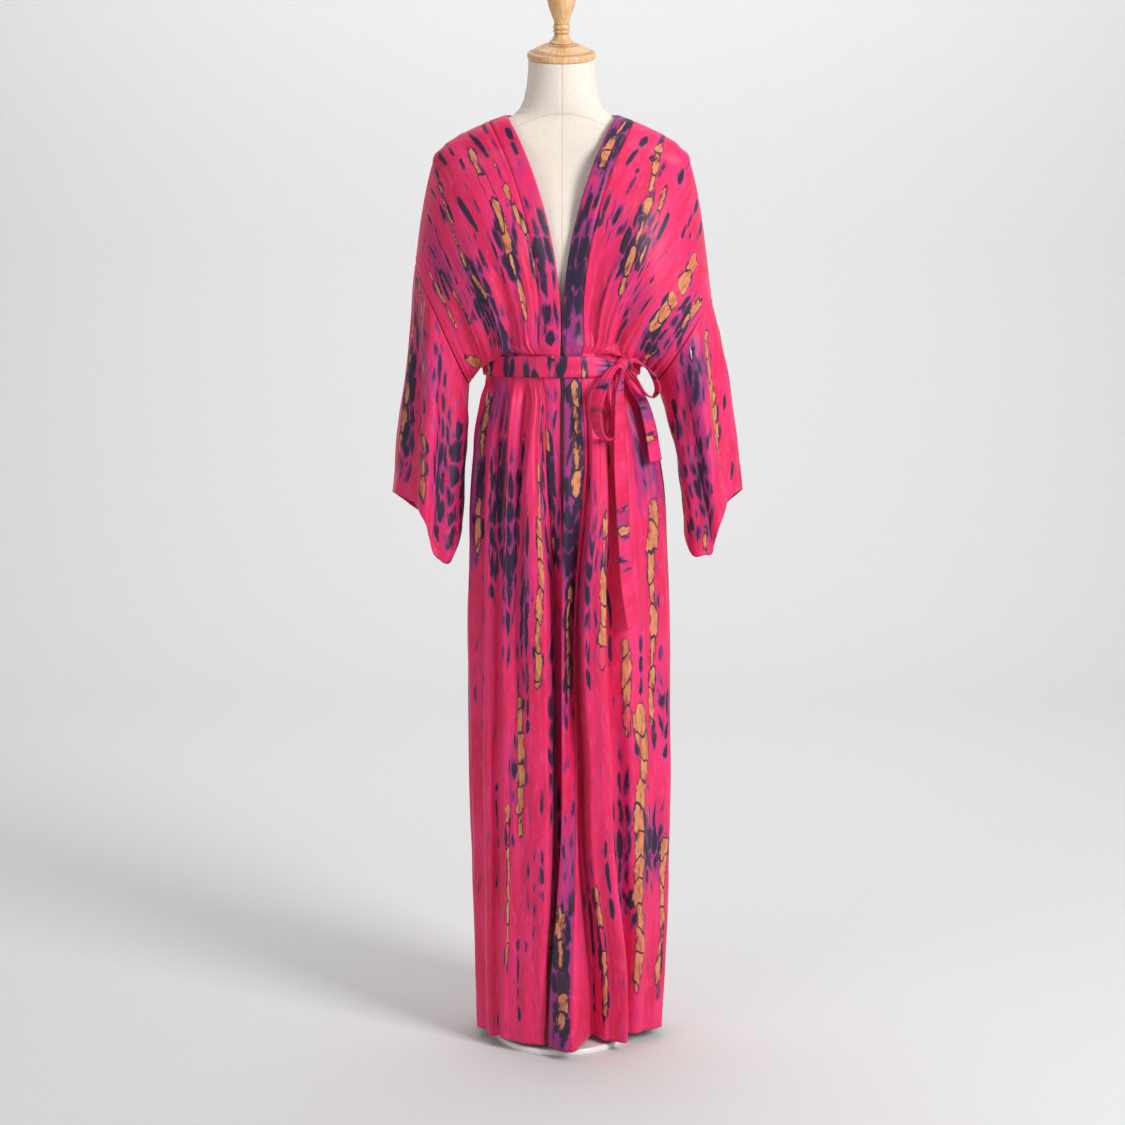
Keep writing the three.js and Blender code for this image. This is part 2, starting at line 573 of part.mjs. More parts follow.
// A value round a loop, smooth through the table's rows and back to the first.
function readLoop(rows, degrees, column) {
  const wrapped = [
    { ...rows[rows.length - 1], degrees: rows[rows.length - 1].degrees - 360 },
    ...rows,
    { ...rows[0], degrees: 360 },
    { ...rows[1], degrees: 360 + rows[1].degrees },
  ];
  return readTable(wrapped, "degrees", degrees, column);
}
const underarmWidth = 24; // degrees round the armhole
const sleeveRows = [0, 0.07, 0.16, 0.28, 0.42, 0.57, 0.72, 0.86, 1];
function sleeveSheet(side, name) {
  const frontEdge = front[name].column(-1, 0, armholeRow);
  const backEdge = back.column(name === "right" ? 0 : -1, 0, armholeRow);
  const round = [...frontEdge.points, ...backEdge.points.slice(1, -1).reverse()];
  const degrees = [
    ...bodiceRows.slice(0, armholeRow + 1).map((down) => (180 * down) / robe.armholeShare),
    ...bodiceRows.slice(1, armholeRow).reverse().map((down) => 360 - (180 * down) / robe.armholeShare),
  ];
  const points = sleeveRows.map((way) => round.map((start, k) => {
    const cuff = vec(...["x", "y", "z"].map((axis) => readLoop(cuffs[name], degrees[k], axis)));
    cuff.x *= side.sign;
    const p = mix(start, cuff, way);
    if (way === 0) p.z -= cloth.underarmEase * Math.exp(-(((degrees[k] - 180) / underarmWidth) ** 2));
    const middle = 1 - Math.abs(2 * way - 1) ** 2, end = clamp(2 * way - 1, 0, 1);
    const out = middle * readLoop(sleeveFolds[name], degrees[k], "middle")
      + end * readLoop(sleeveFolds[name], degrees[k], "cuff");
    const angle = degToRad(degrees[k]);
    p.x += side.sign * Math.cos(angle) * out;
    p.y -= Math.sin(angle) * out;
    return p;
  }));
  const sheet = new Sheet(points);
  ringNormals(sheet, side.sign);
  const count = armholeRow;
  const first = sheet.normals[0];
  const fronts = first.slice(0, count + 1), backs = [first[0], ...first.slice(count).reverse()];
  shareNormals(fronts.slice(1, -1), frontEdge.normals.slice(1, -1));
  shareNormals(backs.slice(1, -1), backEdge.normals.slice(1, -1));
  shareNormals([fronts[0]], [frontEdge.normals[0]], [backEdge.normals[0]]);
  shareNormals([fronts[count]], [frontEdge.normals[count]], [backEdge.normals[count]]);
  return sheet;
}
function ringNormals(sheet, outwards) {
  const { points, normals } = sheet, rows = points.length, count = points[0].length;
  points.forEach((row, i) => row.forEach((_, j) => {
    const down = points[Math.min(i + 1, rows - 1)][j].clone().sub(points[Math.max(i - 1, 0)][j]);
    const along = row[(j + 1) % count].clone().sub(row[(j + count - 1) % count]);
    normals[i][j].copy(along.cross(down).normalize().multiplyScalar(outwards));
  }));
}

// Side seams first, and then the sleeves take their place in the armholes.
shareNormals(front.right.column(-1).normals, back.column(0).normals);
shareNormals(front.left.column(-1).normals, back.column(-1).normals);
const sleeves = { right: sleeveSheet(sides.right, "right"), left: sleeveSheet(sides.left, "left") };

// The band runs up each front and round the back of the neck to the centre back.
function bandSheet(name) {
  const side = sides[name], sheet = front[name].part(0, foldSteps);
  const neckColumns = 2 * foldSteps;
  const seamAt = (k) => backCentre + side.sign * k;
  const rows = range(neckColumns).map((k) => {
    const seam = back.points[0][seamAt(k)].clone();
    const edge = clearOfForm(backNeckPoint(side, k / neckColumns, "edge"), cloth.offNeck);
    edge.x *= side.sign;
    return range(foldSteps + 1).map((j) => mix(edge, seam, j / foldSteps));
  });
  const points = [...rows, ...sheet.points];
  const made = new Sheet(points, side.sign < 0 ? 1 : -1);
  sheet.normals.forEach((row, i) => row.forEach((n, j) => made.normals[i + neckColumns][j].copy(n)));
  made.normals[0].forEach((n) => n.setX(0).normalize());
  range(neckColumns).forEach((k) => {
    shareNormals([made.normals[k][foldSteps]], [back.normals[0][seamAt(k)]]);
  });
  return made;
}
const bands = { right: bandSheet("right"), left: bandSheet("left") };
shareNormals(
  [bands.right.normals[2 * foldSteps][foldSteps]], [back.normals[0][backCentre - 2 * foldSteps]],
  [front.right.normals[0][foldSteps]],
);
shareNormals(
  [bands.left.normals[2 * foldSteps][foldSteps]], [back.normals[0][backCentre + 2 * foldSteps]],
  [front.left.normals[0][foldSteps]],
);

for (const name of ["right", "left"]) {
  const last = front[name].points[0].length - 1;
  const panel = front[name].part(foldSteps, last).trim("top", "first", "last");
  addPart("front_" + name, clothWall(panel), printedCloth);
  addPart("band_" + name, clothWall(bands[name].trim("top", "last")), printedCloth);
  addPart("sleeve_" + name, clothWall(sleeves[name].trim("top"), true), printedCloth);
}
addPart("back_panel", clothWall(back.trim("top", "first", "last")), printedCloth);

// The sash goes round the waist, and narrows where it is gathered into the knot.
const sashNarrow = { degrees: 24, height: 13 };
function sashRing() {
  const turns = range(60).map((k) => k * 6);
  const wallAt = (out) => [0, 1].map((row) => turns.map((turn) => {
    const fromFront = turn > 180 ? 360 - turn : turn;
    const nearKnot = easeInOut(1 - Math.abs(turn - sash.knotDegrees) / sashNarrow.degrees);
    const height = lerp(sash.topZ - sash.bottomZ, sashNarrow.height, nearKnot);
    const middle = lerp((sash.topZ + sash.bottomZ) / 2, sash.knotZ, nearKnot);
    const p = ringPoint(sides.left, fromFront, robe.waistTopZ, sash.clearance + out);
    return vec(turn > 180 ? -p.x : p.x, p.y, middle + height * (0.5 - row));
  }));
  return wallGeometry(wallAt(sash.wall), wallAt(0), true);
}
addPart("belt", sashRing(), sashCloth);

// The knot, and the ribbons that leave it: two loops and two tails. Each row of a ribbon's table is
// one place on its middle line. "across" and "out" are measured from the knot's middle, and "facing"
// is the way the ribbon's own plane faces, in degrees round from the front. A tail lies in its plane.
// A loop stands up from it, its outer face away from the loop's middle and leaning a little forwards.
const knot = { across: 13, deep: 10, tall: 11, ribbonGap: 0.4, ribbonWidth: 9 };
const knotCentre = ringPoint(sides.left, sash.knotDegrees, robe.waistTopZ, sash.knotOut).setZ(sash.knotZ);
const knotOut = ringPoint(sides.left, sash.knotDegrees, robe.waistTopZ, 1)
  .sub(ringPoint(sides.left, sash.knotDegrees, robe.waistTopZ));
const knotAlong = vec(0, 0, 1).cross(knotOut).normalize();
const ribbonColumns = "across out z width";
const ribbons = {
  bow_loop_lower: { facing: 42, middle: { across: -42, z: 976 }, rows: table(ribbonColumns, [
    [-20, 2, 1038, 10], [-40, 7, 1024, 16], [-58, 10, 1001, 20], [-68, 14, 974, 20], [-63, 14, 949, 20],
    [-47, 12.5, 936, 19], [-31, 8, 943, 16], [-19, 3, 965, 13], [-8, -2, 1008, 11],
  ]) },
  bow_loop_upper: { facing: 20, middle: { across: 32, z: 1016 }, rows: table(ribbonColumns, [
    [16, 2, 1048, 12], [33, 3, 1040, 15], [47, 4, 1024, 17], [53, 5, 1006, 18], [47, 5, 994, 18],
    [34, 4, 998, 17], [18, 3.5, 1020, 12],
  ]) },
  belt_tail_long: { facing: 42, rows: table(ribbonColumns, [
    [-20, 17, 1019, 11], [-26, 20.5, 1000, 17], [-26, 22, 965, 21], [-23, 19, 915, 24], [-20, 19, 855, 24],
    [-16, 21, 790, 24], [-12, 24.5, 720, 25], [-5, 31.5, 661, 28],
  ]) },
  belt_tail_short: { facing: 42, rows: table(ribbonColumns, [
    [21, -3, 1012, 13], [37, 4, 986, 19], [46, 11, 948, 23], [53, 16, 899, 25],
  ]) },
};
// Where a line from the knot's middle towards a point comes out of the knot.
function onKnot(towards) {
  const way = towards.place.clone().sub(knotCentre);
  const reach = Math.hypot(
    way.dot(knotAlong) / knot.across, way.dot(knotOut) / knot.deep, way.z / knot.tall);
  const place = knotCentre.clone().addScaledVector(way, 1 / reach + knot.ribbonGap / way.length());
  return { place, width: knot.ribbonWidth };
}
function ribbonWall({ facing, middle, rows: free }) {
  const stepsPerRow = 3, loopLean = 0.4;
  const out = vec(Math.sin(degToRad(facing)), -Math.cos(degToRad(facing)), 0), up = vec(0, 0, 1);
  const sideways = up.clone().cross(out);
  const placed = free.map((row) => ({ width: row.width, place: knotCentre.clone().setZ(row.z)
    .addScaledVector(sideways, row.across).addScaledVector(out, row.out) }));
  const rows = [onKnot(placed[0]), ...placed, ...(middle ? [onKnot(placed[placed.length - 1])] : [])];
  const path = new THREE.CatmullRomCurve3(rows.map((r) => r.place), false, "centripetal");
  const steps = (rows.length - 1) * stepsPerRow;
  const faces = [0, -sash.wall].map((depth) => range(steps + 1).map((i) => {
    const row = Math.min(Math.floor(i / stepsPerRow), rows.length - 2);
    const width = lerp(rows[row].width, rows[row + 1].width, i / stepsPerRow - row);
    const centre = path.getPoint(i / steps), along = path.getTangent(i / steps);
    const face = out.clone();
    if (middle) {
      const fromMiddle = centre.clone().sub(knotCentre).dot(sideways) - middle.across;
      face.copy(sideways).multiplyScalar(fromMiddle).addScaledVector(up, centre.z - middle.z).normalize();
      face.addScaledVector(out, loopLean * Math.max(0, face.z - face.dot(sideways)) / 2);
    }
    face.addScaledVector(along, -face.dot(along)).normalize();
    const across = face.clone().cross(along).normalize();
    centre.addScaledVector(face, depth);
    return [-0.5, 0, 0.5].map((half) => centre.clone().addScaledVector(across, half * width));
  }));
  return wallGeometry(...faces);
}
const knotBall = new THREE.SphereGeometry(1, 14, 8);
knotBall.applyMatrix4(new THREE.Matrix4().makeBasis(
  knotAlong.clone().multiplyScalar(knot.across), knotOut.clone().multiplyScalar(knot.deep),
  vec(0, 0, knot.tall),
).setPosition(knotCentre));
addPart("belt_knot", knotBall, sashCloth);
for (const [name, ribbon] of Object.entries(ribbons)) addPart(name, ribbonWall(ribbon), sashCloth);

// The form's torso is a loft through its sections, closed at the bottom and at the neck.
function torsoGeometry() {
  const aroundSteps = 36, index = [], positions = [], shoulders = { from: 1265, to: 1415 };
  const heights = formSections.map((row) => row.z);
  heights.forEach((z) => range(aroundSteps).forEach((k) => {
    const angle = (2 * Math.PI * k) / aroundSteps, read = (name) => readTable(formSections, "z", z, name);
    const onShoulder = clamp((z - shoulders.from) / 60, 0, 1) * clamp((shoulders.to - z) / 12, 0, 1);
    const thinner = stand.shoulderEase * onShoulder;
    const y = Math.sin(angle) * (read(Math.sin(angle) < 0 ? "front" : "back") - thinner);
    positions.push(read("half") * Math.cos(angle), y, z + y * Math.tan(degToRad(read("lean"))));
  }));
  const top = (heights.length - 1) * aroundSteps;
  positions.push(0, 0, heights[0], 0, 0, heights[heights.length - 1]);
  const bottomCentre = positions.length / 3 - 2, topCentre = bottomCentre + 1;
  range(aroundSteps).forEach((k) => {
    const next = (k + 1) % aroundSteps;
    for (let i = 0; i < heights.length - 1; i++) {
      const a = i * aroundSteps;
      index.push(a + k, a + next, a + aroundSteps + next, a + k, a + aroundSteps + next, a + aroundSteps + k);
    }
    index.push(bottomCentre, next, k, topCentre, top + k, top + next);
  });
  const geometry = new THREE.BufferGeometry();
  geometry.setAttribute("position", new THREE.Float32BufferAttribute(positions, 3));
  geometry.setIndex(index);
  return geometry;
}
addPart("form_torso", torsoGeometry(), linen);

// The cap and its finial are turned in wood, and lean forward with the neck.
const capProfile = [
  [0, 0], [49, 0], [50.5, 2], [50.5, 7], [48.5, 9.5], [41.5, 11], [40.5, 12.5], [38, 15], [31, 18],
  [27.4, 19.6], [20.5, 20.4], [19, 22], [0, 22],
];
const finialProfile = [
  [0, 22.3], [18.3, 22.3], [18.3, 24], [14.5, 27], [11.4, 32], [10.4, 36], [12.2, 38], [12.4, 40.5],
  [10.9, 42.5], [12.2, 44.5], [12.2, 47], [10.7, 49.5], [11.4, 54], [14.8, 63], [18.6, 73], [21, 84],
  [20.8, 92], [17.8, 101], [12, 108], [5.5, 111.5], [0, 112],
];
function turned(profile) {
  const shape = new THREE.LatheGeometry(profile.map(([r, h]) => new THREE.Vector2(r, h)), 28);
  return shape.rotateX(Math.PI / 2 + degToRad(stand.capTilt)).translate(0, 0, stand.neckTopZ + stand.fitGap);
}
addPart("neck_cap", turned(capProfile), turnedWood);
addPart("finial", turned(finialProfile), turnedWood);

// The pole stands on a heavy round base.
function upright(profile) {
  return new THREE.LatheGeometry(profile.map(([r, h]) => new THREE.Vector2(r, h)), 32).rotateX(Math.PI / 2);
}
const hubTop = stand.baseThickness + stand.hubHeight;
addPart("stand_base", upright([
  [0, 0], [stand.baseRadius, 0], [stand.baseRadius, stand.baseThickness - 3],
  [stand.baseRadius - 3, stand.baseThickness], [stand.hubRadius + 6, stand.baseThickness],
  [stand.hubRadius, stand.baseThickness + 5], [stand.hubRadius - 6, hubTop], [0, hubTop],
]), lacqueredSteel);
addPart("stand_pole", upright([
  [0, hubTop + stand.fitGap], [stand.poleRadius, hubTop + stand.fitGap],
  [stand.poleRadius, stand.torsoBottomZ - stand.fitGap], [0, stand.torsoBottomZ - stand.fitGap],
]), lacqueredSteel);

export default object;
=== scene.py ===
import math

import bmesh
import bpy
import mathutils
import numpy as np
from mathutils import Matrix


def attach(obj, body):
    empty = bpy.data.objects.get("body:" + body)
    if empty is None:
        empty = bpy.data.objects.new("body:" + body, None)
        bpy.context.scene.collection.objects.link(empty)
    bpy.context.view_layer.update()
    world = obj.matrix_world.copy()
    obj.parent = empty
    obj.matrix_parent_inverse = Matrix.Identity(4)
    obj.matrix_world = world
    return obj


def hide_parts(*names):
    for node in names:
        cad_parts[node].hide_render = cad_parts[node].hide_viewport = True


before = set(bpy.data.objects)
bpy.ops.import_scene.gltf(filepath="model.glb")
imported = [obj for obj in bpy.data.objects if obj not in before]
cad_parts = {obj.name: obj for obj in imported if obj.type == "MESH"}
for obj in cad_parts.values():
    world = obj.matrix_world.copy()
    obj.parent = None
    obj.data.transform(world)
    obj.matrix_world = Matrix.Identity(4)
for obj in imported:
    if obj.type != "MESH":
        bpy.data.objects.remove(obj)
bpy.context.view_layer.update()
mm = 0.001
scene = bpy.context.scene
scene.view_settings.view_transform = "Standard"


def tableOf(names, rows):
    return {name: np.array([row[i] for row in rows], float) for i, name in enumerate(names.split())}


def lerp(a, b, t):
    return a + (b - a) * t


clamp = np.clip


def easeInOut(t):
    return 0.5 - 0.5 * np.cos(np.pi * clamp(t, 0, 1))


def smoothRead(table, at, column):
    # A column at any value of the table's first column, on a smooth curve through the rows
    keys, values = next(iter(table.values())), table[column]
    if keys[0] > keys[-1]:
        keys, values = keys[::-1], values[::-1]
    last = len(keys) - 1
    rows = np.arange(last + 1)
    before, after = np.maximum(rows - 1, 0), np.minimum(rows + 1, last)
    slope = (values[after] - values[before]) / (keys[after] - keys[before])
    at = np.asarray(at, float)
    i = clamp(np.searchsorted(keys, at, side="right") - 1, 0, last - 1)
    width = keys[i + 1] - keys[i]
    t = clamp((at - keys[i]) / width, 0, 1)
    start = values[i] + slope[i] * width * t
    end = values[i + 1] - slope[i + 1] * width * (1 - t)
    return lerp(start, end, t * t * (3 - 2 * t))


def frontOrBack(isFront, table, z):
    return np.where(isFront, smoothRead(table, z, "front"), smoothRead(table, z, "back"))


def softNoise(x, y, seed):
    # Smooth noise between -1 and 1, the same on every run
    xi, yi = np.floor(x), np.floor(y)
    fx, fy = easeInOut(x - xi), easeInOut(y - yi)

    def corner(i, j):
        h = np.sin((xi + i) * 127.1 + (yi + j) * 311.7 + seed * 74.7) * 43758.5453
        return 2 * (h - np.floor(h)) - 1

    return lerp(lerp(corner(0, 0), corner(1, 0), fx), lerp(corner(0, 1), corner(1, 1), fx), fy)


def bezier(a, b, c, d, t):
    t = np.asarray(t)[..., None]
    s = 1 - t
    return a * s**3 + b * 3 * s * s * t + c * 3 * s * t * t + d * t**3


def unit(v):
    return v / np.maximum(np.linalg.norm(v, axis=-1, keepdims=True), 1e-9)


class Path:
    # A smooth curve through points, read by its length or by the number of the point
    def __init__(self, points, perSpan=60):
        p = np.array(points, float)
        p = np.vstack([2 * p[0] - p[1], p, 2 * p[-1] - p[-2]])
        spans = []
        for a, b, c, d in zip(p, p[1:], p[2:], p[3:]):
            ta, tb, tc = (max(np.linalg.norm(n - m) ** 0.5, 1e-6) for m, n in ((a, b), (b, c), (c, d)))
            out = ((b - a) / ta - (c - a) / (ta + tb) + (c - b) / tb) * tb
            into = ((c - b) / tb - (d - b) / (tb + tc) + (d - c) / tc) * tb
            t = np.linspace(0, 1, perSpan, endpoint=False)[:, None]
            square, cube = 3 * c - 3 * b - 2 * out - into, 2 * b - 2 * c + out + into
            spans.append(b + out * t + square * t**2 + cube * t**3)
        self.points = np.vstack([*spans, p[-2][None]])
        steps = np.linalg.norm(np.diff(self.points, axis=0), axis=1)
        self.along = np.concatenate([[0], np.cumsum(steps)])
        self.length = self.along[-1]
        self.spanAt = np.arange(len(self.points)) / perSpan

    def read(self, where, at):
        return np.stack([np.interp(at, where, self.points[:, k]) for k in range(3)], -1)


# The robe's sizes
robe = {
    "bandWidth": 28, "lipZ": 1062, "waistTopZ": 1057, "waistBottomZ": 1023, "hemZ": 16,
    "armholeShare": 0.9, "seamY": 4, "offForm": 6, "clothThickness": 1.0, "bandThickness": 1.9,
    "frontWidth": 350, "bandCloth": 30, "bodiceLength": 372, "lipLength": 6, "hemStitch": 37, "halfWaist": 157,
    "offShoulder": 2.4, "clearOfFormTo": 778,
}
shoulderRows = [[80, 1403, 41, 48], [106, 1394, 42, 52], [131, 1383.5, 44, 58], [156, 1371, 47, 64],
                [175, 1357, 50, 68], [189, 1339, 54, 67], [198, 1310, 0, 0], [208, 1258, 0, 0]]
sides = {
    "right": {"sign": -1, "top": np.array([217.0, 4, 1190]), "underarm": np.array([138.0, 4, 1010])},
    "left": {"sign": 1, "top": np.array([223.0, 4, 1140]), "underarm": np.array([141.0, 4, 1014])},
}
for side in sides.values():
    side["shoulder"] = Path([(row[0], robe["seamY"], row[1]) for row in shoulderRows] + [side["top"]])

# The dress form: level sections with their half width, front and back, leaning at the neck
form = {"bottomZ": 790, "neckTopZ": 1486, "tilt": 15, "underShoulder": 2.4, "shoulderEase": 5.0}
formRows = [[790, 122, 80, 88, 0], [870, 126, 90, 96, 0], [950, 116, 87, 87, 0], [1041, 102, 82, 73, 0],
            [1120, 114, 86, 80, 0], [1205, 139, 95, 88, 0], [1265, 160, 86, 88, 0], [1305, 177, 70, 78, 0],
            [1324, 181, 61, 72, 0]]
for k in range(5, -1, -1):
    x, z, front, back = shoulderRows[k]
    (x0, z0), (x1, z1) = shoulderRows[max(k - 1, 0)][:2], shoulderRows[k + 1][:2]
    under = form["underShoulder"] / math.hypot(x1 - x0, z1 - z0)
    formRows.append([z - under * (x1 - x0), x - under * (z0 - z1), front, back, 0])
formRows += [[1410, 66, 42, 48, 2], [1420, 59, 43, 47, 4], [1435, 54, 45, 46.5, 7], [1460, 50, 47, 47.5, 12],
             [1486, 48.5, 48.5, 48.5, 15]]
formTable = tableOf("z half front back lean", formRows)


def formDistance(p):
    deep = frontOrBack(p[..., 1] < 0, formTable, p[..., 2])
    return np.hypot(p[..., 0] / smoothRead(formTable, p[..., 2], "half"), p[..., 1] / deep) - 1


def clearOfForm(p, clearance, passes=4):
    # Points moved out until they are clear of the form
    p = p.copy()
    for _ in range(passes):
        here = formDistance(p)
        out = np.stack([formDistance(p + step) - here for step in np.eye(3) * 0.2], -1) / 0.2
        size = np.maximum(np.linalg.norm(out, axis=-1), 1e-6)
        short = clamp(clearance - here / size, 0, 12)
        p += out / size[..., None] * short[..., None]
    return p


# The unfolded ring of the body below the waist, and its folds from the waist to the hem
ringTable = tableOf("z right left front back", [
    [1057, 113, 113, 100, 88], [1023, 113, 113, 100, 88], [985, 120, 123, 103, 94], [911, 133, 144, 109, 105],
    [760, 139, 159, 115, 113], [528, 139, 167, 117, 115], [276, 134, 166, 114, 115], [16, 127, 156, 103, 111]])
foldHeights = np.array([1023, 985, 620, 400, 16], float)
foldNames = "blouse a0 a1 a2 a3 a4 out0 out1 out2 out3 out4"
folds = {
    ("right", "front"): tableOf(foldNames, [
        [0, 1, 0.3, -2, -3, -4, 0, -6, -24, -28, -32], [0, 14, 11, 4, 5, 5, 0, -3, -36, -38, -36],
        [3, 18, 15, 9, 9, 11, 0, 3, 4, 4, 2], [4, 23, 20, 20, 21, 24, 0, 5, 8, 6, 4],
        [-7, 29, 26, 29, 32, 37, 0, -13, -4, -1, 0], [6, 37, 34, 36, 38, 43, 0, 9, 5, 3, 2],
        [-5, 45, 42, 42, 45, 51, 0, -5, -6, -4, -5], [4, 54, 50, 49, 51, 57, 0, 4, 4, 4, 5],
        [-5, 64, 61, 62, 63, 67, 0, -8, -13, -10, -8], [3, 76, 75, 76, 77, 79, 0, 3, 5, 4, 5],
        [0, 90, 90, 90, 90, 90, 0, -2, -4, -4, -3]]),
    ("left", "front"): tableOf(foldNames, [
        [0, 2, 1.4, 0, 0, -7, 0, 0, -6, -6, 8], [0, 15, 14.5, 7, 8, 4, 0, 0, -34, -18, 29],
        [-4, 19, 17, 9, 11, 22, 0, -3, -38, -34, -36], [4, 23, 20, 12, 15, 27, 0, 5, 5, 4, -8],
        [5, 29, 27, 21, 24, 37, 0, 6, 9, 10, 10], [-7, 34, 31, 25, 28.5, 41, 0, -9, -17, -20, -34],
        [4, 44, 41, 37, 40, 52, 0, 4, 1, 1, -12], [-5, 55, 53, 54, 56, 66, 0, -8, -8, -7, -9],
        [4, 70, 71, 72, 74, 78, 0, 4, 4, 4, 4], [0, 90, 90, 90, 90, 90, 0, -2, -4, -4, -3]]),
    ("right", "back"): tableOf(foldNames, [
        [5, 180, 180, 180, 180, 180, 0, 5, 8, 9, 9], [-6, 168, 168, 167, 166, 165, 0, -7, -12, -13, -14],
        [4, 155, 156, 155, 154, 153, 0, 4, 7, 8, 8], [-7, 141, 142, 141, 140, 138, 0, -9, -13, -13, -12],
        [5, 128, 128, 127, 127, 126, 0, 5, 7, 7, 8], [-5, 114, 115, 115, 114, 112, 0, -6, -10, -11, -13],
        [4, 101, 101, 101, 101, 102, 0, 3, 5, 5, 6], [0, 90, 90, 90, 90, 90, 0, -2, -4, -4, -3]]),
    ("left", "back"): tableOf(foldNames, [
        [5, 180, 180, 180, 180, 180, 0, 5, 8, 9, 9], [-7, 169, 169, 170, 170, 169, 0, -8, -12, -14, -15],
        [5, 157, 157, 157, 158, 158, 0, 5, 7, 8, 8], [-5, 145, 144, 144, 143, 142, 0, -7, -11, -11, -10],
        [6, 131, 131, 130, 129, 128, 0, 5, 8, 8, 9], [-6, 117, 117, 116, 115, 113, 0, -8, -12, -13, -14],
        [4, 102, 102, 102, 102, 102, 0, 4, 6, 6, 7], [0, 90, 90, 90, 90, 90, 0, -2, -4, -4, -3]]),
}


def ringPoint(name, degrees, z, out=0.0):
    # A point so far out from the ring, its degrees counted round from the front
    degrees, z = np.broadcast_arrays(np.asarray(degrees, float), np.asarray(z, float))
    across, deep = smoothRead(ringTable, z, name), frontOrBack(degrees < 90, ringTable, z)
    sin, cos = np.sin(np.radians(degrees)), np.cos(np.radians(degrees))
    outwards = unit(np.stack([sin / across, -cos / deep, 0 * z], -1))
    ring = np.stack([across * sin, robe["seamY"] * sin - deep * cos, z], -1)
    return ring + outwards * np.asarray(out)[..., None]


def foldAt(table, columns, z):
    # Angle, standing out and blouse of each column at a height. Columns count folds.
    last = len(table["a0"]) - 1
    fold = np.minimum(np.floor(columns).astype(int), last - 1)
    share = columns - fold
    i = int(clamp(np.searchsorted(-foldHeights, -z, side="right") - 1, 0, 3))
    t = easeInOut((foldHeights[i] - z) / (foldHeights[i] - foldHeights[i + 1]))
    angle = lerp(table[f"a{i}"], table[f"a{i + 1}"], t)
    out = lerp(table[f"out{i}"], table[f"out{i + 1}"], t)
    eased = easeInOut(share)
    return (lerp(angle[fold], angle[fold + 1], share), lerp(out[fold], out[fold + 1], eased),
            lerp(table["blouse"][fold], table["blouse"][fold + 1], eased))


# The bodice: a patch between the shoulder, waist, neck and armhole edges
armhole = {"front": 70, "back": 78}
neck = {
    "frontPulls": np.array([[34, -62, 1324], [-6, -104, 1190]], float),
    "backPulls": np.array([[0, 104, 1300], [0, 104, 1180]], float),
    "edge": np.array([[0, 62, 1396], [52, 56, 1402]], float),
    "seam": np.array([[0, 82, 1376], [68, 74, 1388]], float),
    "overShoulder": 2.3, "share": 0.26, "clearance": 4.5,
}
bust = {"across": 0.32, "down": 0.5, "wide": 0.28, "tall": 0.26, "out": 14}
gather = {"from": 0.35, "over": 0.4, "side": 0.8, "nearWaist": 0.4, "lipOut": 2.6, "lipRise": 22,
          "narrowTo": 0.3, "right": 4.6, "left": 7.0, "back": 10.0}
rowsDown = {"bodice": 78, "bodiceTo": 0.95, "lip": 8, "waist": 8, "skirt": 204}


def armholePoint(side, degrees):
    t = ((1 - np.cos(np.radians(degrees))) / 2)[..., None]
    p = lerp(side["top"], side["underarm"], t)
    p[..., 1] -= np.sin(np.radians(degrees)) * np.where(degrees < 180, armhole["front"], armhole["back"])
    return p


def outerEdge(name, isBack, down):
    side = sides[name]
    degrees = 180 * np.minimum(down, robe["armholeShare"]) / robe["armholeShare"]
    loop = armholePoint(side, 360 - degrees if isBack else degrees)
    below = clamp((down - robe["armholeShare"]) / (1 - robe["armholeShare"]), 0, 1)[..., None]
    return lerp(loop, ringPoint(name, 90, robe["waistTopZ"]), below)


def shoulderPoint(side, length):
    path = side["shoulder"]
    return path.read(path.along, clamp(length, 0, path.length))


def backNeckPoint(side, share, kind):
    centre, pull = neck[kind]
    end = shoulderPoint(side, np.array(robe["bandWidth"] if kind == "seam" else 0.0))
    return bezier(centre, np.array([pull[0] * 0.55, centre[1], centre[2]]), pull, end, share)


def innerEdge(name, isBack, down):
    waist = ringPoint(name, 180 if isBack else 1, robe["waistTopZ"])
    start = neck["seam"][0] if isBack else shoulderPoint(sides[name], np.array(0.0))
    pulls = neck["backPulls" if isBack else "frontPulls"]
    p = bezier(start, *pulls, waist, down)
    p[..., 1] = bezier(start, *pulls, waist, 1 - (1 - down) ** neck["overShoulder"])[..., 1]
    return p


def clearOfSash(p, reach):
    # Just above the belt, points are moved out so that the bodice comes over its edge
    near = easeInOut((robe["lipZ"] + gather["lipRise"] - p[..., 2]) / gather["lipRise"])
    reach = np.where(near > 0, reach * near, -40)
    wide = smoothRead(ringTable, robe["waistTopZ"], "left") + reach
    deep = frontOrBack(p[..., 1] < 0, ringTable, robe["waistTopZ"]) + reach
    inside = np.hypot(p[..., 0] / wide, p[..., 1] / deep)
    factor = np.where(inside < 1, 1 / inside, 1)
    return p * np.stack([factor, factor, np.ones_like(factor)], -1)


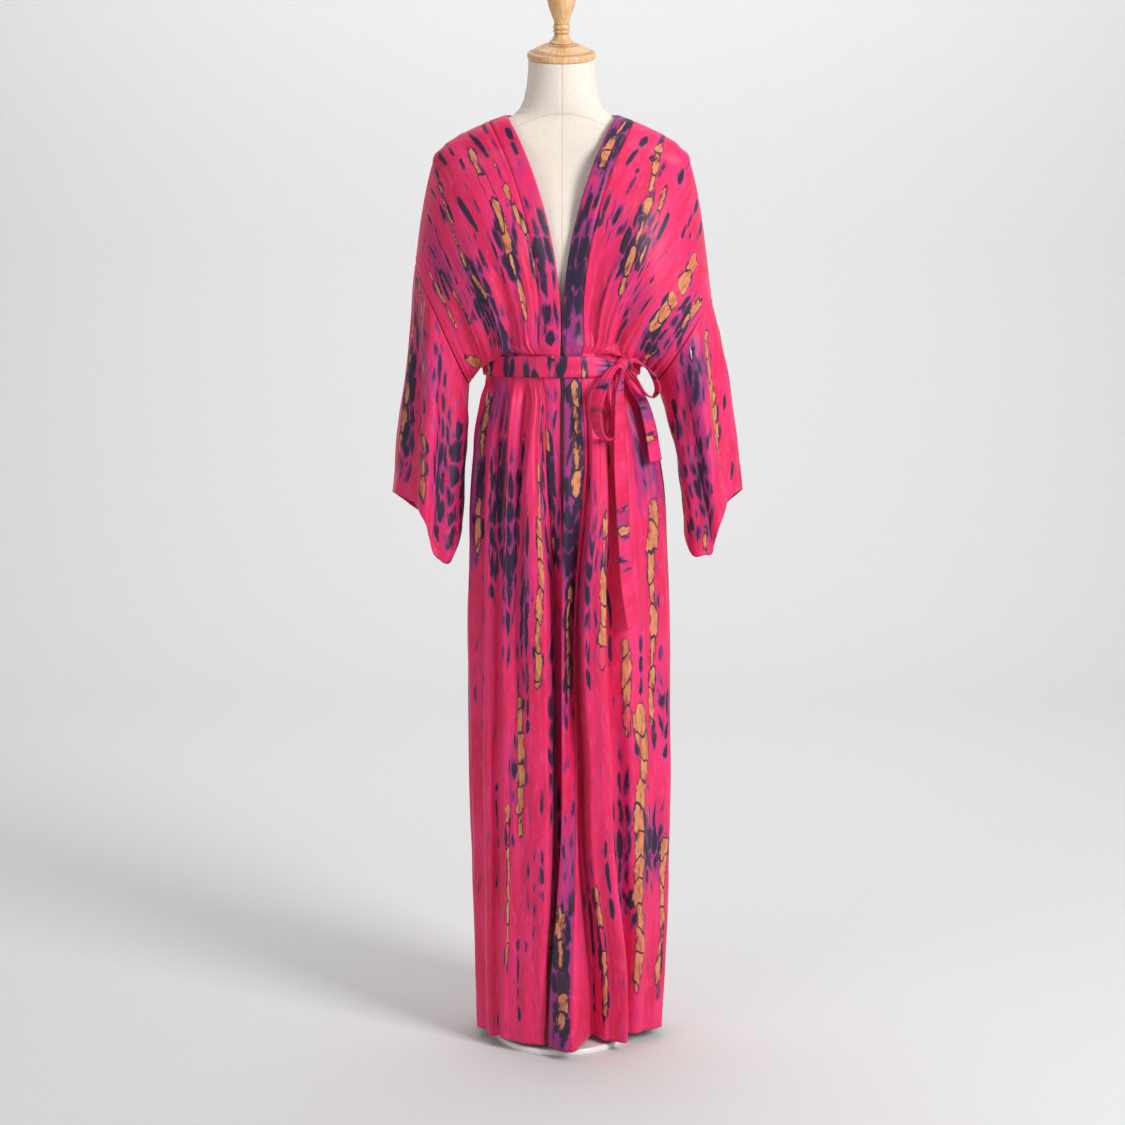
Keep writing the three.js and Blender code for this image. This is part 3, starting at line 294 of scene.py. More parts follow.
def halfPanel(name, isBack, steps):
    # The cloth of half a panel, as rows from the shoulder to the hem, with its flat place on the cut cloth.
    # Its columns are counted in folds, and there are so many steps to a fold.
    side, table, waistZ = sides[name], folds[(name, "back" if isBack else "front")], robe["waistTopZ"]
    last, corner = len(table["a0"]) - 1, 2 if isBack else 1
    columns = np.linspace(0, last, last * steps + 1)
    degrees, _, blouse = foldAt(table, columns, robe["waistBottomZ"])
    waist = clamp((180 - degrees if isBack else degrees - 1) / 90, 0, 1)
    waistCorner = (foldAt(table, np.array([1.0]), robe["waistBottomZ"])[0][0] - 1) / 90
    length = side["shoulder"].length
    share0 = neck["share"] if isBack else robe["bandWidth"] / length
    pastCorner = (columns - corner) / (last - corner)
    shoulder = np.where(columns < corner, share0 * columns / corner, share0 + (1 - share0) * pastCorner)
    if isBack:
        top = shoulderPoint(side, lerp(robe["bandWidth"], length, clamp(pastCorner, 0, 1)))
        inNeck = columns < corner
        top[inNeck] = clearOfForm(backNeckPoint(side, columns[inNeck] / corner, "seam"), neck["clearance"])
    else:
        top = shoulderPoint(side, shoulder * length)
    onBand = (columns <= corner) & (not isBack)
    reach = gather["back" if isBack else name] * clamp(waist / gather["narrowTo"], 0.4, 1)
    rows, vPlaces, waistV = [], [], robe["bodiceLength"] + robe["lipLength"]

    def corners(across, t):
        t = np.full(len(columns), float(t))
        return lerp(innerEdge(name, isBack, t), outerEdge(name, isBack, t), across[:, None])

    for down in np.linspace(0, rowsDown["bodiceTo"], rowsDown["bodice"]):
        turn = easeInOut(down * 1.1)
        if isBack:
            across = lerp(shoulder, waist, turn)
        else:
            bandEnd = robe["bandWidth"] / lerp(length, robe["halfWaist"], down)
            rest = lerp((shoulder - share0) / (1 - share0), (waist - waistCorner) / (1 - waistCorner), turn)
            across = np.where(onBand, bandEnd * columns, lerp(bandEnd, 1, rest))
        p = corners(across, down)
        p += (top - corners(across, 0)) * (1 - down)
        waistDegrees = 180 - 90 * across if isBack else 1 + 89 * across
        p += (ringPoint(name, waistDegrees, waistZ) - corners(across, 1)) * down
        if not isBack:
            aside, below = (across - bust["across"]) / bust["wide"], (down - bust["down"]) / bust["tall"]
            p[:, 1] -= bust["out"] * np.exp(-(aside**2) - below**2)
        out = blouse * easeInOut((down - gather["from"]) / gather["over"])
        p[:, 1] += (1 if isBack else -1) * out * np.cos(across * np.pi / 2)
        sideways = lerp(gather["side"], gather["nearWaist"], easeInOut((down - 0.7) / 0.2))
        p[:, 0] += out * np.sin(across * np.pi / 2) * sideways
        p = clearOfForm(p, lerp(robe["offShoulder"], robe["offForm"], clamp(down / 0.06, 0, 1)))
        rows.append(clearOfSash(p, reach))
        vPlaces.append(down * robe["bodiceLength"])
    lipOut = gather["lipOut"] * clamp(waist / gather["narrowTo"], np.where(onBand, 0, 0.3), 1)
    lip = ringPoint(name, degrees, robe["lipZ"] - 2.0, lipOut * 1.15)
    start, waistTop = rows[-1], ringPoint(name, degrees, waistZ)
    for t in np.linspace(0, 1, rowsDown["lip"])[1:]:
        rows.append(start * (1 - t) ** 2 + lip * 2 * t * (1 - t) + waistTop * t * t)
        vPlaces.append(lerp(rowsDown["bodiceTo"] * robe["bodiceLength"], waistV, t))
    hipRow = len(rows)
    for z in [*np.linspace(waistZ, robe["waistBottomZ"], rowsDown["waist"])[1:],
              *np.linspace(robe["waistBottomZ"], robe["hemZ"], rowsDown["skirt"])[1:]]:
        degreesHere, outHere, _ = foldAt(table, columns, z)
        if z >= robe["waistBottomZ"]:
            degreesHere, outHere = degrees, 0 * degrees
        rows.append(ringPoint(name, degreesHere, z, outHere))
        vPlaces.append(waistV + waistZ - z)
    points = np.array(rows)
    hips = points[hipRow:]
    points[hipRow:] = np.where(hips[..., 2:] > robe["clearOfFormTo"], clearOfForm(hips, robe["offForm"]), hips)
    flatWidth = robe["frontWidth"] * columns / last * side["sign"]
    if not isBack:
        pastBand = robe["bandCloth"] + robe["frontWidth"] * (columns - 1) / (last - 1)
        flatWidth = np.where(onBand, robe["bandCloth"] * columns, pastBand)
    points[..., 0] *= side["sign"]
    u, v = np.broadcast_arrays(flatWidth, np.array(vPlaces)[:, None])
    return points, u, v, columns


def normalsOf(points, outwards, ring=False):
    if ring:
        inner = points[:, :-1]
        along = np.roll(inner, -1, 1) - np.roll(inner, 1, 1)
        along = np.concatenate([along, along[:, :1]], 1)
    else:
        along = np.gradient(points, axis=1)
    return unit(np.cross(along, np.gradient(points, axis=0))) * outwards


def bodyCreases(u, v, seed, waist=378, belt=36):
    # How far the small folds stand out: gathers at the belt, drag lines above it and long drapes below it
    above, below = clamp((waist - v) / waist, 0, 1), np.maximum(v - waist - belt, 0)
    wander = 0.8 * softNoise(u / 62, v / 210, seed)
    waves = np.sin(2 * np.pi * (u / 25 + wander)) + 0.5 * np.sin(2 * np.pi * (u / 14.5 + 1.6 * wander + seed))
    uneven = 0.55 + 0.45 * softNoise(u / 33, v / 120, seed + 3)
    inBodice = (v < waist) * easeInOut((0.62 - above) / 0.62) * (0.35 + 0.65 * easeInOut(above / 0.05))
    inSkirt = (v > waist + belt) * easeInOut(below / 30) * (0.12 + 0.88 * np.exp(-below / 150))
    out = 3.0 * waves * uneven * (inBodice + inSkirt)
    out += 2.2 * softNoise(u / 30 + v / 420, v / 165, seed + 5) * easeInOut((0.8 - above) / 0.5) * (v < waist)
    out += (4.6 * softNoise(u / 38, v / 520, seed + 7) + 2.0 * softNoise(u / 16, v / 260, seed + 9)) * (
        v > waist + belt) * easeInOut(below / 140)
    out += 0.45 * softNoise(u / 9 + v / 130, v / 48, seed + 11) * (1 - (v > waist) * (v < waist + belt))
    return out


# The print. Chains of tan cells and strings of beads run down the cloth, from v0, u0 to v1, u1, with a width and
# a seed. Patches (u, v, wide, tall, dark, mauve) are where the navy and purple dyes gather, and the ground is how
# much of each there is elsewhere. u is across the cut cloth from the front edge, and v down from the shoulder.
prints = {
    "front_right": {"ground": (0.1, 0.17),
        "chains": [[8, 92, 330, 84, 10, 1], [60, 62, 275, 27, 5, 2], [30, 184, 190, 216, 6, 3],
            [185, 215, 244, 186, 6, 3], [120, 300, 250, 262, 6, 4], [90, 335, 220, 320, 7, 9],
            [250, 340, 372, 280, 12, 5], [500, 66, 900, 88, 10, 6], [860, 129, 1120, 125, 10, 7],
            [1020, 172, 1330, 163, 8, 8], [420, 318, 700, 322, 5, 10], [1190, 48, 1400, 46, 10, 11]],
        "strings": [[10, 74, 74, 62, 10, 1], [80, 130, 156, 117, 10, 2], [40, 120, 84, 122, 9, 3],
            [86, 158, 172, 140, 11, 4], [150, 158, 214, 172, 12, 5], [170, 122, 250, 128, 11, 6],
            [60, 250, 190, 262, 10, 18], [40, 300, 200, 316, 11, 19], [275, 34, 375, 40, 11, 7],
            [90, 222, 180, 214, 9, 8], [430, 48, 640, 52, 9, 20], [560, 108, 980, 104, 11, 21],
            [470, 150, 700, 146, 12, 22], [430, 196, 560, 200, 9, 23], [600, 200, 860, 206, 12, 24],
            [500, 256, 760, 250, 12, 25], [640, 300, 1000, 300, 9, 26], [1000, 230, 1200, 236, 8, 27],
            [1000, 80, 1180, 76, 8, 28], [1240, 124, 1400, 126, 9, 29], [1150, 290, 1400, 286, 7, 30],
            [860, 40, 1200, 44, 9, 31], [470, 320, 600, 322, 10, 32], [2, 150, 96, 152, 12, 33],
            [2, 214, 110, 214, 13, 34], [6, 262, 80, 262, 12, 35], [4, 180, 70, 176, 10, 36],
            [4, 44, 100, 42, 9, 37], [210, 90, 340, 84, 9, 38], [6, 122, 40, 122, 10, 39]],
        "patches": [[88, 200, 22, 50, 0.95, 0.6], [290, 120, 34, 80, 0.5, 0.7], [99, 190, 30, 44, 0.8, 0.4],
            [34, 215, 14, 60, 0.8, 0.4], [180, 335, 32, 56, 0.85, 0.85], [208, 236, 50, 68, 0.95, 0.85],
            [60, 110, 20, 50, 0.12, 0.1], [136, 285, 20, 50, 0.15, 0.2], [300, 290, 50, 50, 0.05, 0.05],
            [322, 590, 26, 150, 0.4, 0.95], [262, 450, 34, 46, 0.34, 1.0], [300, 480, 20, 80, 0.66, 0.8],
            [228, 580, 30, 130, 0.85, 0.6], [173, 660, 26, 150, 0.95, 0.8], [120, 760, 22, 120, 0.75, 0.7],
            [300, 840, 34, 150, 0.4, 0.4], [48, 560, 14, 240, 0.6, 0.6], [46, 960, 14, 180, 0.8, 0.5],
            [150, 1020, 20, 130, 0.5, 0.5], [190, 1250, 120, 170, 0.1, 0.1], [311, 1150, 40, 240, 0.14, 0.15],
            [95, 1190, 22, 110, 0.45, 0.3], [240, 1398, 70, 16, 0.5, 0.5]]},
    "front_left": {"ground": (0.1, 0.17),
        "chains": [[8, 84, 275, 152, 10, 21], [60, 125, 215, 160, 6, 22], [66, 278, 150, 290, 18, 24],
            [150, 288, 246, 282, 22, 25], [80, 355, 180, 350, 12, 26], [240, 330, 372, 290, 8, 27],
            [580, 157, 860, 157, 10, 28], [780, 240, 960, 236, 8, 29], [560, 316, 1000, 296, 9, 30],
            [860, 272, 1390, 244, 18, 31], [1080, 320, 1405, 314, 8, 32], [1150, 118, 1400, 112, 9, 33]],
        "strings": [[20, 60, 110, 48, 10, 1], [30, 112, 100, 116, 8, 2], [70, 74, 156, 64, 12, 3],
            [90, 160, 230, 178, 10, 4], [200, 62, 330, 56, 7, 5], [220, 100, 340, 84, 7, 6],
            [20, 180, 120, 196, 10, 7], [60, 230, 160, 246, 9, 8], [120, 40, 190, 36, 11, 9],
            [420, 46, 640, 44, 11, 10], [600, 46, 760, 60, 9, 11], [520, 96, 700, 92, 8, 12],
            [640, 124, 900, 128, 8, 13], [430, 210, 560, 204, 9, 14], [620, 206, 860, 214, 9, 15],
            [700, 262, 900, 268, 10, 16], [900, 200, 1120, 206, 12, 17], [1000, 280, 1240, 276, 12, 18],
            [1180, 84, 1400, 80, 10, 19], [1060, 150, 1260, 150, 8, 20], [860, 330, 1000, 326, 9, 22],
            [2, 146, 100, 146, 12, 23], [2, 214, 110, 218, 13, 24], [6, 254, 60, 256, 12, 25],
            [4, 88, 64, 86, 10, 26], [130, 120, 240, 132, 12, 27], [236, 220, 350, 206, 11, 28],
            [130, 206, 200, 214, 10, 29]],
        "patches": [[120, 190, 22, 50, 0.9, 0.6], [34, 182, 14, 56, 0.76, 0.5], [78, 165, 34, 34, 0.72, 0.4],
            [118, 162, 20, 44, 0.86, 0.4], [161, 180, 20, 46, 0.7, 0.5], [306, 250, 44, 50, 0.9, 0.8],
            [340, 160, 30, 60, 0.8, 0.7], [210, 230, 50, 46, 0.46, 0.6], [64, 262, 30, 54, 0.06, 0.05],
            [60, 640, 20, 160, 0.3, 0.3], [122, 700, 26, 120, 0.55, 0.5], [305, 520, 36, 90, 0.5, 0.9],
            [330, 900, 26, 80, 0.6, 0.5], [290, 1120, 36, 60, 0.85, 0.8], [220, 1100, 20, 200, 0.75, 0.6],
            [92, 1200, 20, 110, 0.58, 0.5], [60, 1000, 16, 240, 0.35, 0.3], [170, 1000, 40, 150, 0.12, 0.1],
            [190, 1340, 60, 70, 0.3, 0.3]]},
    "band": {"ground": (0.46, 0.85),
        "chains": [[10, 14, 110, 16, 8, 41], [395, 14, 600, 15, 9, 42], [700, 18, 900, 16, 5, 43],
            [1180, 10, 1410, 20, 10, 44]],
        "strings": [[60, 8, 360, 10, 11, 1], [20, 22, 300, 20, 10, 2], [420, 20, 900, 18, 12, 3],
            [600, 8, 1000, 7, 9, 4]],
        "patches": [[14, 260, 40, 100, 0.72, 1.0], [14, 660, 40, 90, 0.8, 0.9], [14, 960, 40, 120, 0.4, 0.4],
            [14, 150, 40, 30, 0.5, 0.6]]},
    "bandQuiet": {"ground": (0.16, 0.4),
        "chains": [[470, 24, 700, 26, 4, 46], [1000, 8, 1380, 10, 7, 47]],
        "strings": [[20, 12, 140, 14, 9, 1], [150, 20, 375, 17, 12, 2], [440, 10, 600, 12, 9, 3],
            [900, 18, 1200, 16, 9, 4]],
        "patches": [[14, 210, 30, 60, 0.7, 0.5], [14, 330, 30, 40, 0.5, 0.3], [20, 600, 16, 160, 0.6, 0.5]]},
    "back": {"ground": (0.08, 0.14),
        "chains": [[30, 60, 360, 74, 10, 51], [10, 190, 330, 170, 7, 52], [120, 300, 372, 262, 12, 53],
            [430, 40, 900, 52, 8, 54], [520, 150, 1010, 158, 7, 55], [700, 255, 1250, 262, 14, 56],
            [1000, 96, 1390, 104, 6, 57], [1120, 200, 1400, 214, 8, 58], [450, 310, 760, 316, 6, 59]],
        "strings": [[20, 30, 200, 34, 11, 1], [60, 110, 300, 104, 12, 2], [30, 150, 180, 146, 10, 3],
            [150, 210, 360, 196, 12, 4], [30, 240, 200, 236, 10, 5], [60, 330, 300, 300, 10, 6],
            [430, 80, 700, 84, 11, 7], [600, 20, 980, 24, 10, 8], [520, 120, 820, 118, 12, 9],
            [450, 190, 760, 196, 12, 10], [640, 220, 1000, 226, 11, 11], [500, 280, 800, 284, 10, 12],
            [900, 60, 1300, 64, 10, 13], [1000, 150, 1260, 146, 9, 14], [880, 300, 1200, 296, 10, 15],
            [1100, 250, 1390, 246, 9, 16], [1200, 20, 1400, 20, 9, 17]],
        "patches": [[120, 70, 150, 50, 0.4, 0.4], [60, 200, 40, 50, 0.8, 0.5], [230, 250, 46, 50, 0.85, 0.8],
            [150, 330, 50, 40, 0.5, 0.5], [300, 120, 50, 60, 0.12, 0.1], [100, 560, 26, 130, 0.75, 0.6],
            [220, 620, 28, 120, 0.66, 0.9], [20, 760, 20, 150, 0.6, 0.5], [170, 880, 30, 110, 0.5, 0.6],
            [300, 820, 30, 150, 0.5, 0.8], [80, 1130, 30, 120, 0.5, 0.5], [240, 1180, 40, 100, 0.5, 0.6],
            [150, 1250, 50, 110, 0.08, 0.1], [330, 500, 36, 110, 0.4, 0.9], [20, 1200, 40, 150, 0.12, 0.1]]},
    "sleeve_right": {"ground": (0.14, 0.24),
        "chains": [[0, 44, 110, 46, 8, 61], [200, 84, 330, 90, 8, 62], [60, 8, 330, 10, 3, 63],
            [40, 300, 330, 310, 10, 64], [120, 220, 330, 226, 7, 65]],
        "strings": [[10, 24, 330, 20, 12, 1], [40, 70, 200, 72, 12, 2], [10, 110, 160, 112, 12, 3],
            [150, 130, 330, 134, 13, 4], [60, 160, 300, 158, 14, 5], [20, 200, 330, 196, 14, 6],
            [10, 250, 330, 246, 12, 8], [20, 280, 300, 284, 12, 9], [10, 340, 330, 338, 12, 10],
            [30, 372, 330, 370, 10, 11]],
        "patches": [[24, 190, 16, 150, 0.85, 0.6], [60, 120, 14, 110, 0.6, 0.7],
            [142, 190, 34, 130, 0.85, 0.8], [105, 60, 26, 50, 0.4, 0.5], [190, 240, 26, 110, 0.8, 0.7],
            [290, 160, 60, 110, 0.6, 0.7], [8, 200, 8, 140, 0.1, 0.1]]},
    "sleeve_left": {"ground": (0.12, 0.22),
        "chains": [[20, 50, 310, 54, 15, 71], [280, 130, 345, 140, 7, 72], [60, 300, 320, 306, 10, 74]],
        "strings": [[10, 90, 150, 94, 13, 1], [60, 116, 340, 112, 12, 2], [20, 150, 330, 154, 14, 3],
            [10, 186, 320, 180, 14, 4], [150, 20, 340, 24, 8, 5], [30, 240, 330, 244, 12, 6],
            [20, 270, 300, 270, 12, 7], [10, 345, 330, 340, 10, 8]],
        "patches": [[95, 70, 40, 60, 0.5, 0.95], [120, 220, 30, 110, 0.8, 0.85], [14, 200, 12, 150, 0.1, 0.1],
            [160, 150, 30, 80, 0.6, 0.8], [160, 290, 40, 50, 0.55, 0.5], [290, 180, 60, 110, 0.5, 0.7]]},
    "belt": {"ground": (0.05, 0.1),
        "chains": [[-40, 547, 60, 547, 5, 81], [-40, 663, 60, 664, 6, 82], [-40, 300, 60, 301, 6, 83],
            [-40, 698, 60, 699, 3, 84], [-40, 2210, 60, 2214, 5, 86], [-40, 2240, 60, 2242, 7, 87],
            [-40, 2612, 60, 2613, 5, 89], [-40, 1575, 60, 1578, 6, 90], [-40, 1092, 60, 1094, 4, 91]],
        "strings": [[-40, 640, 60, 640, 9, 1], [-40, 2060, 60, 2060, 8, 2]],
        "patches": [[558, 15, 9, 60, 0.7, 0.8], [594, 15, 14, 60, 0.75, 0.9], [626, 15, 9, 60, 0.8, 0.5],
            [676, 15, 9, 60, 0.6, 0.4], [735, 15, 14, 60, 0.6, 0.8], [180, 15, 20, 60, 0.6, 0.8],
            [380, 15, 20, 60, 0.6, 0.8], [1050, 15, 16, 60, 0.5, 0.6], [1150, 15, 20, 60, 0.4, 0.5],
            [1540, 15, 20, 60, 0.6, 0.7], [2030, 15, 30, 60, 0.5, 0.9], [2226, 15, 30, 60, 0.25, 0.9],
            [2290, 15, 24, 60, 0.4, 0.5], [2570, 15, 26, 60, 0.45, 0.9], [180, 15, 30, 60, 0.6, 0.6]]},
}

chainWidth, stringWidth = 1.4, 1.25  # cells and beads stand wider where the cloth is drawn together


def printFields(kind, u, v, seed=0):
    # How far each place is past the nearest chain's edge and from the nearest string, and how much dye it has
    fields = {}
    for line, far, unitSize in (("chain", 60.0, mm), ("string", 3.0, 1)):
        near, number = np.full(u.shape, far), np.zeros(u.shape)
        for v0, u0, v1, u1, width, own in prints[kind][line + "s"]:
            t = (v - v0) / (v1 - v0)
            centre = lerp(u0, u1, t) + 5 * softNoise(v / 70, 0 * v, own + seed)
            ends = easeInOut(t / 0.12) * easeInOut((1 - t) / 0.12)
            half = width / 2 * (0.9 + 0.3 * softNoise(v / 60, 0 * v, own + 0.5)) * ends
            if line == "chain":
                here = np.abs(u - centre) - chainWidth * half + 14 * (1 - ends)
            else:
                here = np.abs(u - centre) / np.maximum(half * stringWidth, 2) + 3 * (1 - ends)
            near, number = np.where(here < near, here, near), np.where(here < near, own, number)
        fields.update({line + "Gap": near * unitSize, line + "Number": number})
    dark, mauve = (np.full(u.shape, amount) for amount in prints[kind]["ground"])
    for middleU, middleV, wide, tall, darkHere, mauveHere in prints[kind]["patches"]:
        near = np.exp(-(np.abs((u - middleU) / wide) ** 2.6) - np.abs((v - middleV) / tall) ** 2.6)
        dark, mauve = lerp(dark, darkHere, near), lerp(mauve, mauveHere, near)
    return {**fields, "dark": dark, "mauve": mauve}


# Materials
def linearColour(code):
    values = [int(code[i:i + 2], 16) / 255 for i in (1, 3, 5)]
    return [*(v / 12.92 if v <= 0.04045 else ((v + 0.055) / 1.055) ** 2.4 for v in values), 1]


# Short names for two kinds of node, with their settings, the places of their inputs and their output
shortNames = {"step": ("MapRange", {"interpolation_type": "SMOOTHSTEP"}, (0, 1, 2), 0),
              "mix": ("Mix", {"data_type": "RGBA", "clamp_factor": True}, (0, 6, 7), 2)}


class Shader:
    def __init__(self, name):
        self.material = bpy.data.materials.new(name)
        self.material.use_nodes = True
        self.tree = self.material.node_tree
        self.surface = next(n for n in self.tree.nodes if n.type == "BSDF_PRINCIPLED")

    def feed(self, node, inputs):
        # Sets or links inputs by their place or name, where "_" stands for a space
        for key, value in inputs.items():
            socket = node.inputs[key.replace("_", " ") if isinstance(key, str) else key]
            if isinstance(value, bpy.types.NodeSocket):
                self.tree.links.new(value, socket)
            else:
                socket.default_value = linearColour(value) if isinstance(value, str) else value

    def add(self, kind, *values, **named):
        # One node, or a Math node if the kind is in capitals. Values go to its inputs in order, names with a
        # capital to the inputs of that name, and the others are settings.
        usual = ("Math", {"operation": kind}, (0, 1, 2), 0) if kind.isupper() else (kind, {}, (), None)
        kind, settings, places, output = shortNames.get(kind, usual)
        node = self.tree.nodes.new("ShaderNode" + kind)
        for key, value in {**settings, **{k: v for k, v in named.items() if k[0].islower()}}.items():
            setattr(node, key, value)
        self.feed(node, {**dict(zip(places, values)), **{k: v for k, v in named.items() if k[0].isupper()}})
        return node.outputs if output is None else node.outputs[output]

    def total(self, start, *parts):
        # The start, plus each value times its weight
        for value, weight in parts:
            start = self.add("MULTIPLY_ADD", value, weight, start)
        return start

    def noise(self, place, scale, detail=2.0, rough=0.5, shift=0.0, **settings):
        place = self.add("Mapping", Vector=place, Location=(shift, shift, 0), Scale=scale)[0]
        return self.add("TexNoise", Vector=place, Scale=1.0, Detail=detail, Roughness=rough, **settings)[0]

    def paint(self, tone, *layers):
        # Colours over one another, each by its strength and its masks
        for colour, strength, *masks in layers:
            for mask in masks:
                strength = self.add("MULTIPLY", mask, strength)
            tone = self.add("mix", strength, tone, colour)
        return tone

    def finish(self, height, strength, depth, **inputs):
        bump = self.add("Bump", Height=height, Strength=strength, Distance=depth)[0]
        self.feed(self.surface, {**inputs, "Normal": bump})
        return self.material


dyes = {"pink": "#e82a69", "pinkDeep": "#d31b50", "pinkPale": "#ee4580", "mauve": "#8f347f", "violet": "#582865",
        "navy": "#1d1a30", "tan": "#d28b5c", "tanDeep": "#b0603c", "fleck": "#e3cbea", "outline": "#33183a"}
# Sizes of the print in metres: cells and beads down the cloth, loose beads and pale flecks across and down it
printSizes = {"cell": 0.040, "stringBead": 1 / 24, "bead": (0.0165, 0.042), "fleck": (0.021, 0.052)}


def printedViscose():
    # Printed viscose satin, woven and then dyed: a soft sheen, streaks along the warp and fuzzy edges to the dye
    s = Shader("printed_viscose_satin")
    add, total = s.add, s.total
    onCloth = add("UVMap", uv_map="Cloth")[0]
    u, v, _ = add("SeparateXYZ", Vector=onCloth)
    chainGap, chainNumber, stringGap, stringNumber, dark, mauve, stitch = (
        add("Attribute", attribute_name=name)["Fac"]
        for name in ("chainGap", "chainNumber", "stringGap", "stringNumber", "dark", "mauve", "stitch"))

    def noise(perU, perV, detail, shift, rough=0.5):
        return s.noise(onCloth, (perU, perV, 1), detail, rough, shift, noise_dimensions="2D")

    def cells(x, y):
        # How far a place is from the middle of its cell each way, and three numbers of the cell's own
        corner = add("CombineXYZ", X=add("FLOOR", x), Y=add("FLOOR", y))[0]
        own = add("TexWhiteNoise", noise_dimensions="2D", Vector=corner)["Color"]
        return *(add("ABSOLUTE", add("SUBTRACT", add("FRACT", way), 0.5)) for way in (x, y)), add(
            "SeparateColor", Color=own)

    wander = noise(30, 9, 2, 3.1)
    streaks = noise(820, 44, 3, 1.7, 0.65)  # about 1 mm wide along the warp
    scratches = noise(420, 13, 3, 7.3, 0.7)
    smudge = noise(120, 40, 3, 9.2, 0.6)
    cloud = noise(20, 7, 2, 5.5)
    ragged = total(-1.3, (smudge, 1.0), (streaks, 1.6))
    mottle = total(smudge, (streaks, 0.5))

    # Chains of tan cells with thin dark lines round them and between them
    place = total(0.0, (v, 1 / printSizes["cell"]), (wander, 1.7), (chainNumber, 0.37))
    _, fromMiddle, chance = cells(chainNumber, place)
    gap = total(-0.0114, (chainGap, 1.0), (add("POWER", fromMiddle, 4.0), 0.035), (chance[0], 0.006),
                (smudge, 0.012), (streaks, 0.0048))
    isTan = [add("step", chance[1], 0.10, 0.16), total(1.0, (add("step", smudge, 0.56, 0.7), -0.45)),
             add("step", gap, 0.0006, -0.0008)]
    isLine = [add("step", gap, -0.0012, 0.0004), add("step", gap, 0.0036, 0.0006), add("step", mottle, 0.4, 0.72)]
    isCross = [add("step", total(-0.03, (fromMiddle, 1.0), (streaks, 0.06)), 0.435, 0.462),
               add("step", gap, 0.004, 0.0)]
    beside = add("MULTIPLY", add("step", gap, 0.013, 0.002), add("step", chance[2], 0.2, 0.5))

    # Strings of navy beads, with a thin run of dye from bead to bead
    place = total(0.0, (v, 1 / printSizes["stringBead"]), (wander, 2.0), (stringNumber, 0.37))
    _, down, chance = cells(stringNumber, place)
    stringDepth = total(-1.15, (add("step", chance[1], 0.16, 0.2), 1.5), (chance[0], 0.6),
                        (add("POWER", stringGap, 2.0), -1.0), (add("POWER", down, 3.0), -9.0), (ragged, 1.0))
    run = add("MULTIPLY", add("step", total(-0.3, (stringGap, 1.0), (streaks, 0.6)), 0.4, 0.1),
              add("step", smudge, 0.45, 0.6))

    # Beads of navy dye side by side, that run together where there is more of it
    wide, tall = printSizes["bead"]
    across, down, chance = cells(total(0.0, (u, 1 / wide), (wander, 0.03 / wide)),
                                 total(0.0, (v, 1 / tall), (noise(46, 5, 1, 4.4), 1.6)))
    spread = total(0.0, (add("POWER", across, 2.0), 4.6), (add("POWER", down, 3.0), 7.2))
    beadDepth = total(-1.25, (dark, 2.0), (chance[0], 0.7), (cloud, 0.6), (beside, 0.9),
                      (add("POWER", spread, 0.6), -1.0), (ragged, 1.0))
    depth = add("MAXIMUM", beadDepth, stringDepth)
    isRim = add("MAXIMUM", add("step", depth, -0.36, 0.02), run)
    isMauve = add("step", total(-0.95, (mauve, 1.1), (cloud, 1.15), (ragged, 1.0)), 0.10, 0.55)
    isScratch = [add("step", scratches, 0.60, 0.68), add("step", total(-0.3, (dark, 1.0), (cloud, 0.6)), 0.3, 0.6)]

    # Pale flecks, where the cloth took no dye
    wide, tall = printSizes["fleck"]
    across, down, chance = cells(add("DIVIDE", u, wide), add("DIVIDE", v, tall))
    isFleck = [add("step", chance[0], 0.955, 0.96), add("step", mauve, 0.35, 0.6),
               add("step", total(down, (across, 3.4), (ragged, 0.5)), 0.34, 0.16)]

    mauveTone = s.paint(dyes["violet"], (dyes["mauve"], 1.0, add("step", streaks, 0.34, 0.62)))
    tanTone = s.paint(dyes["tan"], (dyes["tanDeep"], 1.0, add("step", mottle, 0.6, 0.95)))
    colour = s.paint(
        dyes["pinkDeep"], (dyes["pink"], 1.0, add("step", cloud, 0.3, 0.72)),
        (dyes["pinkPale"], 0.5, add("step", smudge, 0.5, 0.75)), (mauveTone, 0.8, isMauve),
        (mauveTone, 0.6, *isScratch), (mauveTone, 0.78, isRim),
        (dyes["navy"], 0.95, add("step", depth, 0.02, 0.32)), (tanTone, 1.0, *isTan),
        (dyes["outline"], 0.85, *isLine), (dyes["outline"], 0.95, *isCross), (dyes["fleck"], 1.0, *isFleck))

    # The weave, and the hems' small stitches, 3 mm apart, which draw the cloth in
    onStitch = add("step", stitch, 0.0016, 0.0005)
    thread = add("MULTIPLY", onStitch, add("step", add("SINE", add("MULTIPLY", u, 2100.0)), -0.4, 0.2))
    weave = add("SINE", add("MULTIPLY", u, 5200.0))
    height = total(0.0, (weave, 0.05), (noise(1500, 700, 2, 2.2), 0.12), (onStitch, -1.2), (thread, 0.7))
    return s.finish(height, 0.35, 0.0006, Base_Color=colour, Roughness=total(0.42, (streaks, 0.14)),
                    Specular_IOR_Level=0.4, Sheen_Weight=0.12, Sheen_Roughness=0.4, IOR=1.45)


